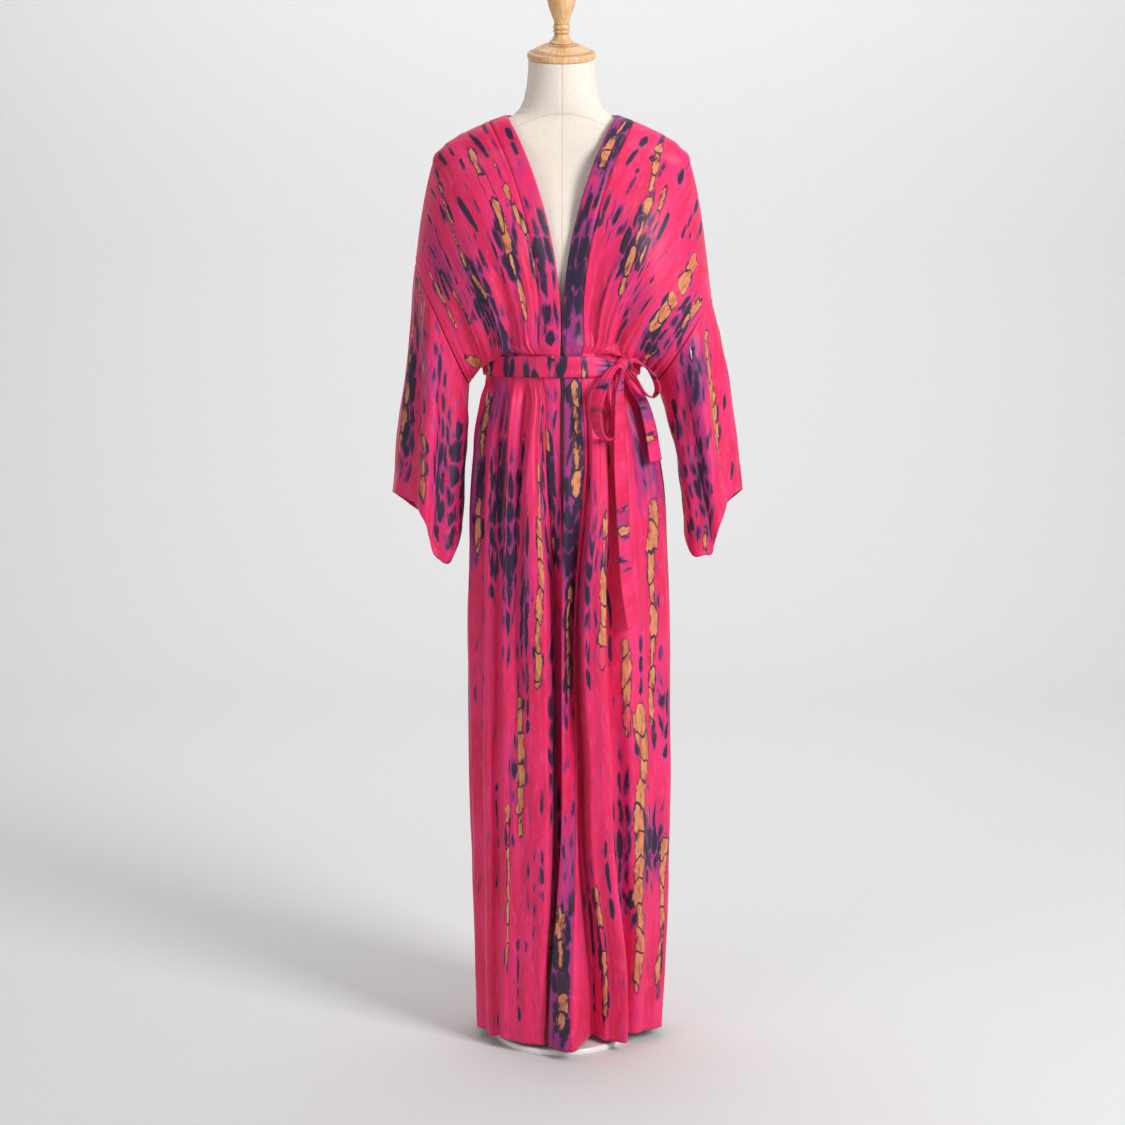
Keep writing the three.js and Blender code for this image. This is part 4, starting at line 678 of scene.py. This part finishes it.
def wovenLinen():
    # Plain-woven linen in natural off-white, glued over the form: slubby threads, about 0.6 mm apart on the real
    # one and drawn 1.4 mm apart so that they show
    s = Shader("woven_linen")
    add, total = s.add, s.total
    place = add("TexCoord")["Object"]
    x, y, z = add("SeparateXYZ", Vector=place)
    turns, radius = 2 * math.pi / 0.0014, 0.11
    warp = add("SINE", add("MULTIPLY", add("ARCTAN2", y, x), radius * turns))
    weft = add("SINE", add("MULTIPLY", z, turns))
    slub, slubWarp = s.noise(place, (240, 240, 900), 3.0), s.noise(place, (900, 900, 120), 3.0)
    threads = total(0.0, (add("MULTIPLY", warp, slubWarp), 0.5), (add("MULTIPLY", weft, slub), 0.5))
    seam = add("step", add("Attribute", attribute_name="seam")["Fac"], 0.0016, 0.0004)
    colour = s.paint("#e2d4c7", ("#f2e9e0", 1.0, total(0.5, (threads, 0.5))),
                     ("#dccfc1", 1.0, add("step", add("ADD", slub, slubWarp), 0.95, 1.35)),
                     ("#b7a492", 0.28, seam))
    return s.finish(total(threads, (seam, -3.0)), 0.3, 0.0006, Base_Color=colour, Roughness=0.86,
                    Specular_IOR_Level=0.25, Sheen_Weight=0.12)


def turnedWood():
    # Turned beech with a thin satin varnish: fine grain along the axis and darker grooves
    s = Shader("turned_beech")
    add = s.add
    place = add("Mapping", Vector=add("TexCoord")["Object"], Rotation=(math.radians(-form["tilt"]), 0, 0),
                Location=(0, 0, -form["neckTopZ"] * mm))[0]
    grain = s.noise(place, (420, 160, 22), 4.0, 0.6)
    broad, flakes = s.noise(place, (60, 26, 7)), s.noise(place, (900, 900, 160), 1.0)
    colour = s.paint("#d49f68", ("#edc897", 1.0, add("step", grain, 0.32, 0.7)),
                     ("#c98d57", 0.45, add("step", broad, 0.45, 0.75)),
                     ("#a9713f", 0.35, add("step", flakes, 0.62, 0.74)),
                     ("#a76d3b", 0.75, add("Attribute", attribute_name="groove")["Fac"]))
    return s.finish(grain, 0.08, 0.0004, Base_Color=colour, Roughness=s.total(0.3, (grain, 0.12)),
                    Coat_Weight=0.35, Coat_Roughness=0.22)


def lacqueredSteel():
    # Steel, lacquered white: smooth, with a trace of orange peel
    s = Shader("white_lacquered_steel")
    place = s.add("TexCoord")["Object"]
    peel, wear = s.noise(place, (700, 700, 700), 1.0), s.noise(place, (45, 45, 45), 3.0)
    colour = s.paint("#ececea", ("#e2e1dd", 1.0, s.add("step", wear, 0.4, 0.7)))
    return s.finish(peel, 0.1, 0.0002, Base_Color=colour, Roughness=s.total(0.3, (wear, 0.12)), Coat_Weight=0.3,
                    Coat_Roughness=0.15)


cloth, linenCover, wood, lacquer = printedViscose(), wovenLinen(), turnedWood(), lacqueredSteel()
print("materials ready")


# Meshes
def meshPiece(name, bm, material):
    mesh = bpy.data.meshes.new(name)
    bm.to_mesh(mesh)
    bm.free()
    mesh.materials.append(material)
    piece = bpy.data.objects.new(name, mesh)
    scene.collection.objects.link(piece)
    return piece


def addField(mesh, key, value):
    field = mesh.attributes.new(key, "FLOAT", "POINT")
    field.data.foreach_set("value", np.ascontiguousarray(value, np.float32).ravel())


def smoothed(piece, merge=False):
    mesh = piece.data
    if merge:
        bm = bmesh.new()
        bm.from_mesh(mesh)
        bmesh.ops.remove_doubles(bm, verts=bm.verts, dist=1e-6)
        bm.to_mesh(mesh)
        bm.free()
    mesh.polygons.foreach_set("use_smooth", np.ones(len(mesh.polygons), bool))
    return piece


def gridPiece(name, points, material, uv=None, fields=None, flip=False, merge=False):
    # A grid laid over points in millimetres. Its flat place is its UV map, and each field an attribute.
    fields, (rows, columns) = fields or {}, points.shape[:2]
    if flip:
        points, uv = points[:, ::-1], uv[:, ::-1]
        fields = {key: value[:, ::-1] for key, value in fields.items()}
    bm = bmesh.new()
    bmesh.ops.create_grid(bm, x_segments=columns - 1, y_segments=rows - 1, size=1)
    piece = meshPiece(name, bm, material)
    mesh = piece.data
    mesh.vertices.foreach_set("co", (points * mm).astype(np.float32).ravel())
    if uv is not None:
        corners = np.empty(len(mesh.loops), np.int32)
        mesh.loops.foreach_get("vertex_index", corners)
        layer = mesh.uv_layers.get("Cloth") or mesh.uv_layers.new(name="Cloth")
        layer.data.foreach_set("uv", (uv.reshape(-1, 2)[corners] * mm).astype(np.float32).ravel())
    for key, value in fields.items():
        addField(mesh, key, value)
    return smoothed(piece, merge)


def settle(piece, slot, *nodes):
    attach(piece, "root")
    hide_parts(*nodes)
    return piece


def sewn(name, points, u, v, kind, node, stitch, seed=0, uPlace=None, thickness=1.0, flip=False, merge=False):
    # A sewn piece with its print and its cloth's thickness. "stitch" is how far each place is from its stitches.
    fields = {**printFields(kind, np.abs(u), v, seed), "stitch": stitch * mm}
    uv = np.stack([u + (700 * (seed % 7) if uPlace is None else uPlace), -v], -1)
    piece = gridPiece(name, points, cloth, uv, fields, flip, merge)
    wall = piece.modifiers.new("cloth", "SOLIDIFY")
    wall.thickness, wall.offset, wall.use_quality_normals = thickness * mm, -1, True
    return settle(piece, "belt_print" if kind == "belt" else "robe_print", node)


def seamDip(distance, depth=0.8, width=2.4):
    # Cloth is drawn in along a seam and stands up a little beside it
    beside = np.exp(-((distance - 2.2 * width) / width) ** 2)
    return -depth * np.exp(-(distance / width) ** 2) + 0.45 * depth * beside


def drape(points, u, v, normals, fromSeam, small, sign):
    # Adds the small folds, drawn in along the seams, and keeps the cloth off the form
    fromSeam = fromSeam * lerp(0.6, 1, easeInOut(v / 300))
    out = small * easeInOut(fromSeam / 16) * easeInOut(v / 12) + seamDip(fromSeam) + seamDip(v, 0.6)
    points = (points + normals * out[..., None]) * [sign, 1, 1]
    nearForm = (points[..., 2:] > robe["clearOfFormTo"]) & (v[..., None] > 20)
    return np.where(nearForm, clearOfForm(points, 2.6, 3), points) * [sign, 1, 1]


# Robe: fronts with their bands, and the back. Steps to a fold, and seeds of the small folds and of the print.
panels = {
    "right": {"steps": 9, "creases": 2.0, "print": 0, "band": "bandQuiet"},
    "left": {"steps": 10, "creases": 31.0, "print": 3, "band": "band"},
    "back": {"steps": 11, "creases": 77.0, "print": 1},
}
band = {"neckSteps": 22, "neckLength": 95, "print": 5, "puff": 0.9, "stitchU": 27.5, "panelStitchU": 33.5}
hemStitchV = robe["bodiceLength"] + robe["lipLength"] + robe["waistTopZ"] - robe["hemZ"] - robe["hemStitch"]
for name, side in sides.items():
    sign, count, panel = side["sign"], panels[name]["steps"], panels[name]
    points, u, v, columns = halfPanel(name, False, count)
    small = bodyCreases(u, v, panel["creases"]) * easeInOut((columns - 0.2) / 1.4)
    small = small + seamDip(np.abs(u - robe["bandCloth"]), 0.5) * (v > 0)
    points = drape(points, u, v, normalsOf(points, -sign), robe["bandCloth"] + robe["frontWidth"] - u, small, sign)
    main, edge = slice(count, None), slice(0, count + 1)
    stitch = np.minimum(np.abs(v - hemStitchV), np.abs(u - band["panelStitchU"]))[:, main]
    piece = sewn(f"robe_front_{name}", points[:, main], u[:, main], v[:, main], f"front_{name}", f"front_{name}",
                 stitch, panel["print"], thickness=robe["clothThickness"], flip=sign > 0)
    # The band goes up the front edge and round the back of the neck
    shares = np.arange(band["neckSteps"]) / band["neckSteps"]
    outer, inner = (clearOfForm(backNeckPoint(side, shares, kind), neck["clearance"]) for kind in ("edge", "seam"))
    neckRows = lerp(outer[:, None], inner[:, None], np.linspace(0, 1, count + 1)[None, :, None]) * [sign, 1, 1]
    points = np.concatenate([neckRows, points[:, edge]], 0)
    bandU = np.broadcast_to(u[0, edge], points.shape[:2])
    neckV = -(1 - shares[:, None]) * band["neckLength"] + 0 * bandU[:band["neckSteps"]]
    bandV = np.concatenate([neckV, v[:, edge]], 0)
    puff = band["puff"] * (1 - np.abs(bandU / 15 - 1) ** 4) + 0.35 * softNoise(bandU / 9, bandV / 24, 5)
    points = points + normalsOf(points, -sign) * puff[..., None]
    stitch = np.minimum(np.abs(bandU - band["stitchU"]), np.abs(bandV - hemStitchV))
    piece = sewn(f"robe_band_{name}", points, bandU, bandV, panel["band"], f"band_{name}", stitch, band["print"],
                 thickness=robe["bandThickness"], flip=sign > 0)

halves = [halfPanel(name, True, panels["back"]["steps"]) for name in ("right", "left")]
points, u, v = (np.concatenate([halves[0][k][:, ::-1], halves[1][k][:, 1:]], 1) for k in range(3))
small = bodyCreases(u + 500, v, panels["back"]["creases"])
points = drape(points, u, v, normalsOf(points, 1), robe["frontWidth"] - np.abs(u), small, 1)
piece = sewn("robe_back", points, u, v, "back", "back_panel", np.abs(v - hemStitchV), panels["back"]["print"],
             thickness=robe["clothThickness"])
print("body of the robe made")

# Sleeves: from the armhole to the cuff, whose loop is a table of points round it
cuffNames = "degrees x y z"
cuffs = {
    "right": tableOf(cuffNames, [
        [-40, 240, 54, 832], [0, 253, 6, 846], [38, 234, -36, 838], [68, 211, -44, 828], [100, 196, -62, 790],
        [130, 180, -58, 752], [155, 164, -36, 759], [180, 151, 2, 800], [220, 170, 52, 784], [270, 206, 76, 800],
        [320, 240, 54, 832], [360, 253, 6, 846], [398, 234, -36, 838]]),
    "left": tableOf(cuffNames, [
        [-40, 260, 52, 834], [0, 272, 6, 850], [36, 256, -36, 838], [66, 240, -46, 824], [98, 226, -64, 776],
        [128, 212, -62, 760], [154, 195, -40, 768], [180, 186, 2, 806], [220, 200, 50, 782], [270, 230, 74, 798],
        [320, 260, 52, 834], [360, 272, 6, 850], [396, 256, -36, 838]]),
}
sleeveFoldNames = "degrees middle cuff"
sleeveFolds = {
    "right": tableOf(sleeveFoldNames, [
        [-75, 6, 7], [0, 0, 0], [44, -13, -9], [76, 9, 8], [112, -11, -7], [146, 4, 4], [180, 0, 0],
        [232, -8, -10], [285, 6, 7], [360, 0, 0], [404, -13, -9]]),
    "left": tableOf(sleeveFoldNames, [
        [-80, 6, 7], [0, 6, 0], [40, -10, -8], [74, 8, 7], [108, -8, -9], [140, -4, 6], [180, -10, 0],
        [228, -8, -10], [280, 6, 7], [360, 6, 0], [400, -10, -8]]),
}
sleeve = {"around": 112, "along": 76, "girth": 400, "length": 345, "cuffStitch": 14,
          "creases": {"right": 13.0, "left": 19.0}, "print": {"right": 2, "left": 6}}
for name, side in sides.items():
    turn = np.linspace(180, 540, sleeve["around"] + 1)
    degrees = np.where(turn > 360, turn - 360, turn)
    cuff = np.stack([smoothRead(cuffs[name], degrees, axis) for axis in "xyz"], -1)
    ways = np.linspace(0, 1, sleeve["along"])[:, None]
    points = lerp(armholePoint(side, degrees)[None], cuff[None], ways[..., None])
    middle, end = 1 - np.abs(2 * ways - 1) ** 2, clamp(2 * ways - 1, 0, 1)
    out = middle * smoothRead(sleeveFolds[name], degrees, "middle") + end * smoothRead(
        sleeveFolds[name], degrees, "cuff")
    points[..., 0] += np.cos(np.radians(degrees)) * out
    points[..., 1] -= np.sin(np.radians(degrees)) * out
    points[..., 0] *= side["sign"]
    u, v = np.broadcast_arrays(degrees / 360 * sleeve["girth"], ways * sleeve["length"])
    seed = sleeve["creases"][name]
    fromUnderarm = np.abs(degrees - 180)[None] / 360 * sleeve["girth"] + 0 * v
    crease = 2.3 * softNoise((u + 0.55 * v) / 34, (v - 0.35 * u) / 120, seed)
    crease += 1.2 * softNoise((u - 0.3 * v) / 15, v / 85, seed + 2) + 0.45 * softNoise(u / 8, v / 40, seed + 4)
    crease *= easeInOut(v / 26) * easeInOut(fromUnderarm / 16)
    crease += seamDip(v, 0.9) + seamDip(fromUnderarm, 0.6)
    points = points + normalsOf(points, side["sign"], True) * crease[..., None]
    piece = sewn(f"robe_sleeve_{name}", points, u, v, f"sleeve_{name}", f"sleeve_{name}",
                 np.abs(v - sleeve["length"] + sleeve["cuffStitch"]), sleeve["print"][name],
                 thickness=robe["clothThickness"], flip=side["sign"] < 0, merge=True)
print("sleeves made")

# Belt: round the waist and narrowing into the knot, where it is tied in a bow
belt = {"topZ": 1055, "bottomZ": 1025, "thickness": 1.7, "clearance": 0.4, "knotDegrees": 46, "narrowDegrees": 26,
        "narrowTo": 12, "knotZ": 1042, "cloth": 30, "radius": 107, "around": 261, "across": 13, "print": 4}
turns = np.linspace(belt["knotDegrees"], belt["knotDegrees"] + 360, belt["around"])
degrees = np.mod(turns, 360)
fromFront = np.where(degrees > 180, 360 - degrees, degrees)
nearKnot = easeInOut(1 - np.abs((degrees - belt["knotDegrees"] + 180) % 360 - 180) / belt["narrowDegrees"])
height = lerp(belt["topZ"] - belt["bottomZ"], belt["narrowTo"], nearKnot)
middleZ = lerp((belt["topZ"] + belt["bottomZ"]) / 2, belt["knotZ"], nearKnot)
across = np.linspace(0.5, -0.5, belt["across"])[:, None]
u, v = np.broadcast_arrays(turns * 2 * np.pi * belt["radius"] / 360, (0.5 - across) * belt["cloth"])
lift = belt["clearance"] + belt["thickness"] + 0.7 * (1 - (2 * across) ** 4)
lift = lift + 0.5 * (1 + softNoise(u / 40, v / 12 + u / 200, 3)) + nearKnot * (
    3.0 + 1.8 * np.sin(across * 19 + u / 30))
points = ringPoint("left", fromFront, robe["waistTopZ"])[None] + 0 * u[..., None]
points = points + unit(points * [1, 1, 0]) * lift[..., None]
points[..., 0] *= np.where(degrees > 180, -1, 1)
points[..., 2] = middleZ + height * across + 0.5 * softNoise(u / 50, 0 * u, 8)


def beltStitch(v):
    return np.minimum(np.abs(v - 2), np.abs(v - 28))


piece = sewn("belt_round", points, u, v, "belt", "belt", beltStitch(v), belt["print"], 3100, belt["thickness"],
             merge=True)

knot = {"across": 13, "deep": 10, "tall": 11, "out": 12.8}
knotCentre = ringPoint("left", belt["knotDegrees"], robe["waistTopZ"], knot["out"])
knotCentre[2] = belt["knotZ"]
knotOut = unit(ringPoint("left", belt["knotDegrees"], robe["waistTopZ"], 1)
               - ringPoint("left", belt["knotDegrees"], robe["waistTopZ"]))
knotAlong = unit(np.cross([0, 0, 1], knotOut))
knotAxes = np.array([knotAlong, knotOut, [0, 0, 1]])
# Each row is across, out, z and width. "across" and "out" are measured from the knot's middle, in the ribbon's own
# plane, which faces so many degrees round from the front. A loop stands up from its plane, and a tail lies in it.
ribbons = {
    "bow_loop_lower": {"facing": 42, "middle": (-42, 976), "rows": [
        [-20, 2, 1038, 10], [-40, 7, 1024, 16], [-58, 10, 1001, 20], [-68, 14, 974, 20], [-63, 14, 949, 20],
        [-47, 12.5, 936, 19], [-31, 8, 943, 16], [-19, 3, 965, 13], [-8, -2, 1008, 11]]},
    "bow_loop_upper": {"facing": 20, "middle": (32, 1016), "rows": [
        [16, 2, 1048, 12], [33, 3, 1040, 15], [47, 4, 1024, 17], [53, 5, 1006, 18], [47, 5, 994, 18],
        [34, 4, 998, 17], [18, 3.5, 1020, 12]]},
    "belt_tail_long": {"facing": 42, "middle": None, "rows": [
        [-20, 17, 1019, 11], [-26, 20.5, 1000, 17], [-26, 22, 965, 21], [-23, 19, 915, 24], [-20, 19, 855, 24],
        [-16, 21, 790, 24], [-12, 24.5, 720, 25], [-5, 31.5, 661, 28]]},
    "belt_tail_short": {"facing": 42, "middle": None, "rows": [
        [21, -3, 1012, 13], [37, 4, 986, 19], [46, 11, 948, 23], [53, 16, 899, 25]]},
}
ribbon = {"endWidth": 8, "spanSteps": 14, "across": 11, "pinch": 26, "slant": 8, "slantFrom": 30}


def onKnot(towards):
    way = towards - knotCentre
    reach = np.linalg.norm(knotAxes @ way / [knot["across"], knot["deep"], knot["tall"]])
    return knotCentre + way * 0.8 / reach


for number, (name, tied) in enumerate(ribbons.items()):
    facing, middle = math.radians(tied["facing"]), tied["middle"]
    out, up = np.array([math.sin(facing), -math.cos(facing), 0]), np.array([0.0, 0, 1])
    sideways = np.cross(up, out)
    free = [knotCentre * [1, 1, 0] + sideways * row[0] + out * row[1] + up * row[2] for row in tied["rows"]]
    free, widths = [onKnot(free[0]), *free], [ribbon["endWidth"], *(row[3] for row in tied["rows"])]
    if middle:
        free, widths = [*free, onKnot(free[-1])], [*widths, ribbon["endWidth"]]
    path = Path(free)
    spans = np.linspace(0, len(free) - 1, ribbon["spanSteps"] * (len(free) - 1) + 1)
    centre, width = path.read(path.spanAt, spans), np.interp(spans, np.arange(len(free)), widths)
    along = unit(np.gradient(centre, axis=0))
    face = np.broadcast_to(out, centre.shape)
    if middle:
        fromMiddle = (centre - knotCentre) @ sideways - middle[0]
        face = unit(sideways * fromMiddle[:, None] + up * (centre[:, 2] - middle[1])[:, None])
        face = face + out * 0.2 * np.maximum(0, face[:, 2] - face @ sideways)[:, None]
    face = unit(face - along * (face * along).sum(-1, keepdims=True))
    sidewise = np.cross(face, along)
    half = np.linspace(-0.5, 0.5, ribbon["across"])
    travelled = np.interp(spans, path.spanAt, path.along)
    toEnd = travelled[-1] - travelled
    u, v = np.broadcast_arrays(travelled[:, None] + 1000 + 500 * number, (half + 0.5) * belt["cloth"])
    pinch = np.exp(-travelled / ribbon["pinch"]) + (np.exp(-toEnd / ribbon["pinch"]) if middle else 0)
    curl = pinch[:, None] * 2.2 * np.sin(half * 14 + 1) + 0.9 * (1 - (2 * half) ** 2)
    curl = curl + 0.7 * softNoise(u / 26, v / 14, 3 + number)
    points = centre[:, None] + sidewise[:, None] * (half * width[:, None])[..., None]
    points = points + face[:, None] * curl[..., None]
    if name == "belt_tail_long":  # its end is cut on a slant
        slant = easeInOut(1 - toEnd[:, None] / ribbon["slantFrom"]) * half * -ribbon["slant"]
        points += along[:, None] * slant[..., None]
    piece = sewn("tied_" + name, points, u, v, "belt", name, beltStitch(v), belt["print"], 3100, belt["thickness"],
                 flip=True)
    length, a, b = path.length * mm + 0.01, np.diff(points, axis=1)[:-1], np.diff(points, axis=0)[:, :-1]
    area = 0.95 * float(np.linalg.norm(np.cross(a, b), axis=-1).sum()) * mm * mm

# The knot is one end of the belt wrapped over the other
across, up = np.meshgrid(np.linspace(0, 2 * np.pi, 73), np.linspace(0, np.pi, 41))
ball = np.stack([np.sin(up) * np.cos(across), np.sin(up) * np.sin(across), np.cos(up)], -1)
slanting = ball[..., 0] * 0.85 + ball[..., 2] * 0.55
creased = 1 + 0.07 * np.sin(slanting * 13 + 2.2 * ball[..., 2]) * np.sin(up)
creased = creased - 0.13 * np.exp(-((slanting - 0.45) / 0.1) ** 2)
points = knotCentre + ball * [knot["across"] * 1.04, knot["deep"], knot["tall"]] * creased[..., None] @ knotAxes
fields = {**printFields("belt", across * 12 + 180, up * 10, 6), "stitch": np.full(across.shape, 1.0)}
uv = np.stack([across * 12 + 3300, up * 14], -1)
piece = gridPiece("belt_knot_tied", points, cloth, uv, fields, merge=True)
settle(piece, "belt_print", "belt_knot")
print("belt and bow made")

# Dress form, its cap and finial, and the stand
heights = [*np.linspace(form["bottomZ"], 1380, 150), *np.linspace(1381, form["neckTopZ"], 90)]
heights = np.array(heights)[:, None]
angles = np.linspace(0, 2 * np.pi, 145)
ease = form["shoulderEase"] * clamp((heights - 1265) / 60, 0, 1) * clamp((1420 - heights) / 26, 0, 1)
y = np.sin(angles) * (frontOrBack(np.sin(angles) < 0, formTable, heights) - ease)
lean = np.tan(np.radians(smoothRead(formTable, heights, "lean")))
torso = np.stack([np.cos(angles) * smoothRead(formTable, heights, "half"), y, heights + y * lean], -1)
topCentre = torso[-1:].mean(1, keepdims=True)
torso = np.concatenate([*(torso[:1] * [r, r, 1] for r in (0.0, 0.5, 0.9, 0.97)), torso,
                        *(topCentre + (torso[-1:] - topCentre) * r for r in (0.97, 0.5, 0.0))], 0)
# Its seams: down the middle, but not at the back of the neck, and round the foot of the neck
centreSeam = np.abs(torso[..., 0]) + 400 * (torso[..., 1] > 0) * (torso[..., 2] > 1424)
neckSeam = np.abs(torso[..., 2] - 1409 - 0.16 * torso[..., 1] + 0.004 * torso[..., 0] ** 2)
fromSeam = np.minimum(centreSeam, neckSeam)
dip = 0.5 * np.exp(-(fromSeam / 1.6) ** 2)
torso[..., :2] *= (1 - dip / np.maximum(np.linalg.norm(torso[..., :2], axis=-1), 1))[..., None]
piece = gridPiece("linen_torso", torso, linenCover, fields={"seam": fromSeam * mm}, merge=True)
settle(piece, "linen", "form_torso")

# Profiles of radius and height
capProfile = [[0, 0], [48.4, 0], [49.6, 0.5], [50.5, 2], [50.5, 7], [50, 8.4], [48.5, 9.5], [43, 10.4],
              [41.6, 11.2], [41, 12.5], [38, 15], [31, 18], [27.4, 19.6], [22, 20.3], [20.5, 20.6], [19, 22],
              [0, 22]]
finialProfile = [[0, 22.3], [17.6, 22.3], [18.3, 22.8], [18.3, 24], [14.5, 27], [11.4, 32], [10.4, 36], [11, 37],
                 [12.2, 38], [12.6, 39.2], [12.4, 40.5], [11, 42], [11, 42.9], [12.2, 44], [12.6, 45.5],
                 [12.2, 47], [11, 49], [10.7, 50.5], [11.4, 54], [14.8, 63], [18.6, 73], [21, 84], [20.8, 92],
                 [17.8, 101], [12, 108], [5.5, 111.5], [0, 112]]
baseProfile = [[0, 0], [103, 0], [104, 1], [104, 6], [103, 8], [101, 9], [30, 9], [26, 11], [24, 14], [18, 42],
               [17, 43], [0, 43]]
poleProfile = [[0, 43.3], [12.5, 43.3], [12.5, 789.7], [0, 789.7]]


def turned(name, profile, material, node, slot, grooves=(), onNeck=False):
    # A profile, its arrises softened a little and points that nearly touch left out, spun round its axis
    profile = np.array(profile, float)
    place = np.concatenate([[0], np.cumsum(np.linalg.norm(np.diff(profile, axis=0), axis=1))])
    fine = np.unique(np.concatenate([place, np.arange(0, place[-1], 1.2)]))
    line = np.stack([np.interp(fine, place, profile[:, k]) for k in (0, 1)], -1)
    for _ in range(2):
        line[2:-2] = (line[1:-3] + 2 * line[2:-2] + line[3:-1]) / 4
    apart = np.linalg.norm(np.diff(line, axis=0), axis=1) > 0.1
    line = line[np.append(apart, True)]
    bm = bmesh.new()
    points = [bm.verts.new((radius * mm, 0, z * mm)) for radius, z in line]
    edges = [bm.edges.new(pair) for pair in zip(points, points[1:])]
    bmesh.ops.spin(bm, geom=points + edges, axis=(0, 0, 1), angle=2 * math.pi, steps=96, use_merge=True)
    bmesh.ops.remove_doubles(bm, verts=bm.verts, dist=1e-6)
    bmesh.ops.recalc_face_normals(bm, faces=bm.faces)
    heights = np.array([vert.co.z for vert in bm.verts]) / mm
    if onNeck:
        tilt = mathutils.Matrix.Rotation(math.radians(form["tilt"]), 3, "X")
        bmesh.ops.rotate(bm, verts=bm.verts, cent=(0, 0, 0), matrix=tilt)
        bmesh.ops.translate(bm, verts=bm.verts, vec=(0, 0, (form["neckTopZ"] + 0.3) * mm))
    piece = smoothed(meshPiece(name, bm, material))
    addField(piece.data, "groove", sum(np.exp(-((heights - z) / 0.9) ** 2) for z in grooves) + 0 * heights)
    settle(piece, slot, node)


turned("wooden_cap", capProfile, wood, "neck_cap", "turned_wood", (10.5, 20.5), True)
turned("wooden_finial", finialProfile, wood, "finial", "turned_wood", (36.5, 42.4, 50), True)
turned("steel_base", baseProfile, lacquer, "stand_base", "white_steel")
turned("steel_pole", poleProfile, lacquer, "stand_pole", "white_steel")
print("form and stand made")

# Floor, backdrop, light and camera
studio = {"floor": "#d9d9d9", "floorFleck": "#dcdcdc", "bendFrom": 2600, "bend": 1400, "halfWidth": 7000,
          "world": 0.34}
lamps = {  # place, what it is aimed at, size and watts
    "key": [(2.4, -2.2, 2.3), (0, 0, 0.9), (1.1, 1.6), 112],
    "fill": [(-2.3, -2.4, 1.5), (0, 0, 0.8), (1.6, 2.0), 18],
    "top": [(0.0, 0.6, 3.4), (0, 0, 0.8), (2.4, 1.6), 20],
    "backdrop": [(0.0, 1.6, 3.6), (0, 4.2, 1.4), (5.0, 1.0), 80],
}
along, turnAt, bend = np.linspace(-6000, 5200, 60), studio["bendFrom"], studio["bend"]
turn = clamp((along - turnAt) / bend, 0, np.pi / 2)
sweepY = np.where(along < turnAt, along, turnAt + bend * np.sin(turn))
sweepZ = bend * (1 - np.cos(turn)) + np.maximum(along - turnAt - bend * np.pi / 2, 0) * 8
sweepX = np.linspace(-1, 1, 41) * studio["halfWidth"]
points = np.stack(np.broadcast_arrays(sweepX, sweepY[:, None], sweepZ[:, None]), -1)
paper = Shader("white_paper_sweep")
grit = paper.noise(paper.add("TexCoord")["Object"], (60, 60, 60))
paper.feed(paper.surface, {"Base Color": paper.paint(studio["floor"], (studio["floorFleck"], 1.0, grit)),
                           "Roughness": 0.9, "Specular IOR Level": 0.1})
gridPiece("paper_sweep", points, paper.material)

for name, (place, aim, size, watts) in lamps.items():
    light = bpy.data.lights.new(name, "AREA")
    light.shape, light.size, light.size_y, light.energy = "RECTANGLE", *size, watts
    lamp = bpy.data.objects.new(name, light)
    lamp.location = place
    way = np.array(aim, float) - place
    tip = math.atan2(math.hypot(way[0], way[1]), -way[2])
    lamp.rotation_euler = (tip, 0, math.atan2(way[0], -way[1]) + math.pi)
    scene.collection.objects.link(lamp)
scene.world = bpy.data.worlds.new("studio")
scene.world.use_nodes = True
background = scene.world.node_tree.nodes["Background"].inputs
background["Color"].default_value = linearColour("#ffffff")
background["Strength"].default_value = studio["world"]

camera = bpy.data.objects.new("camera", bpy.data.cameras.new("camera"))
camera.data.lens, camera.data.sensor_width, camera.data.shift_x = 68.3, 36, 1 / 1125
camera.location, camera.rotation_euler = (0, -3.2, 1.19), (math.radians(82), 0, 0)
scene.collection.objects.link(camera)
scene.camera = camera
print("studio ready")
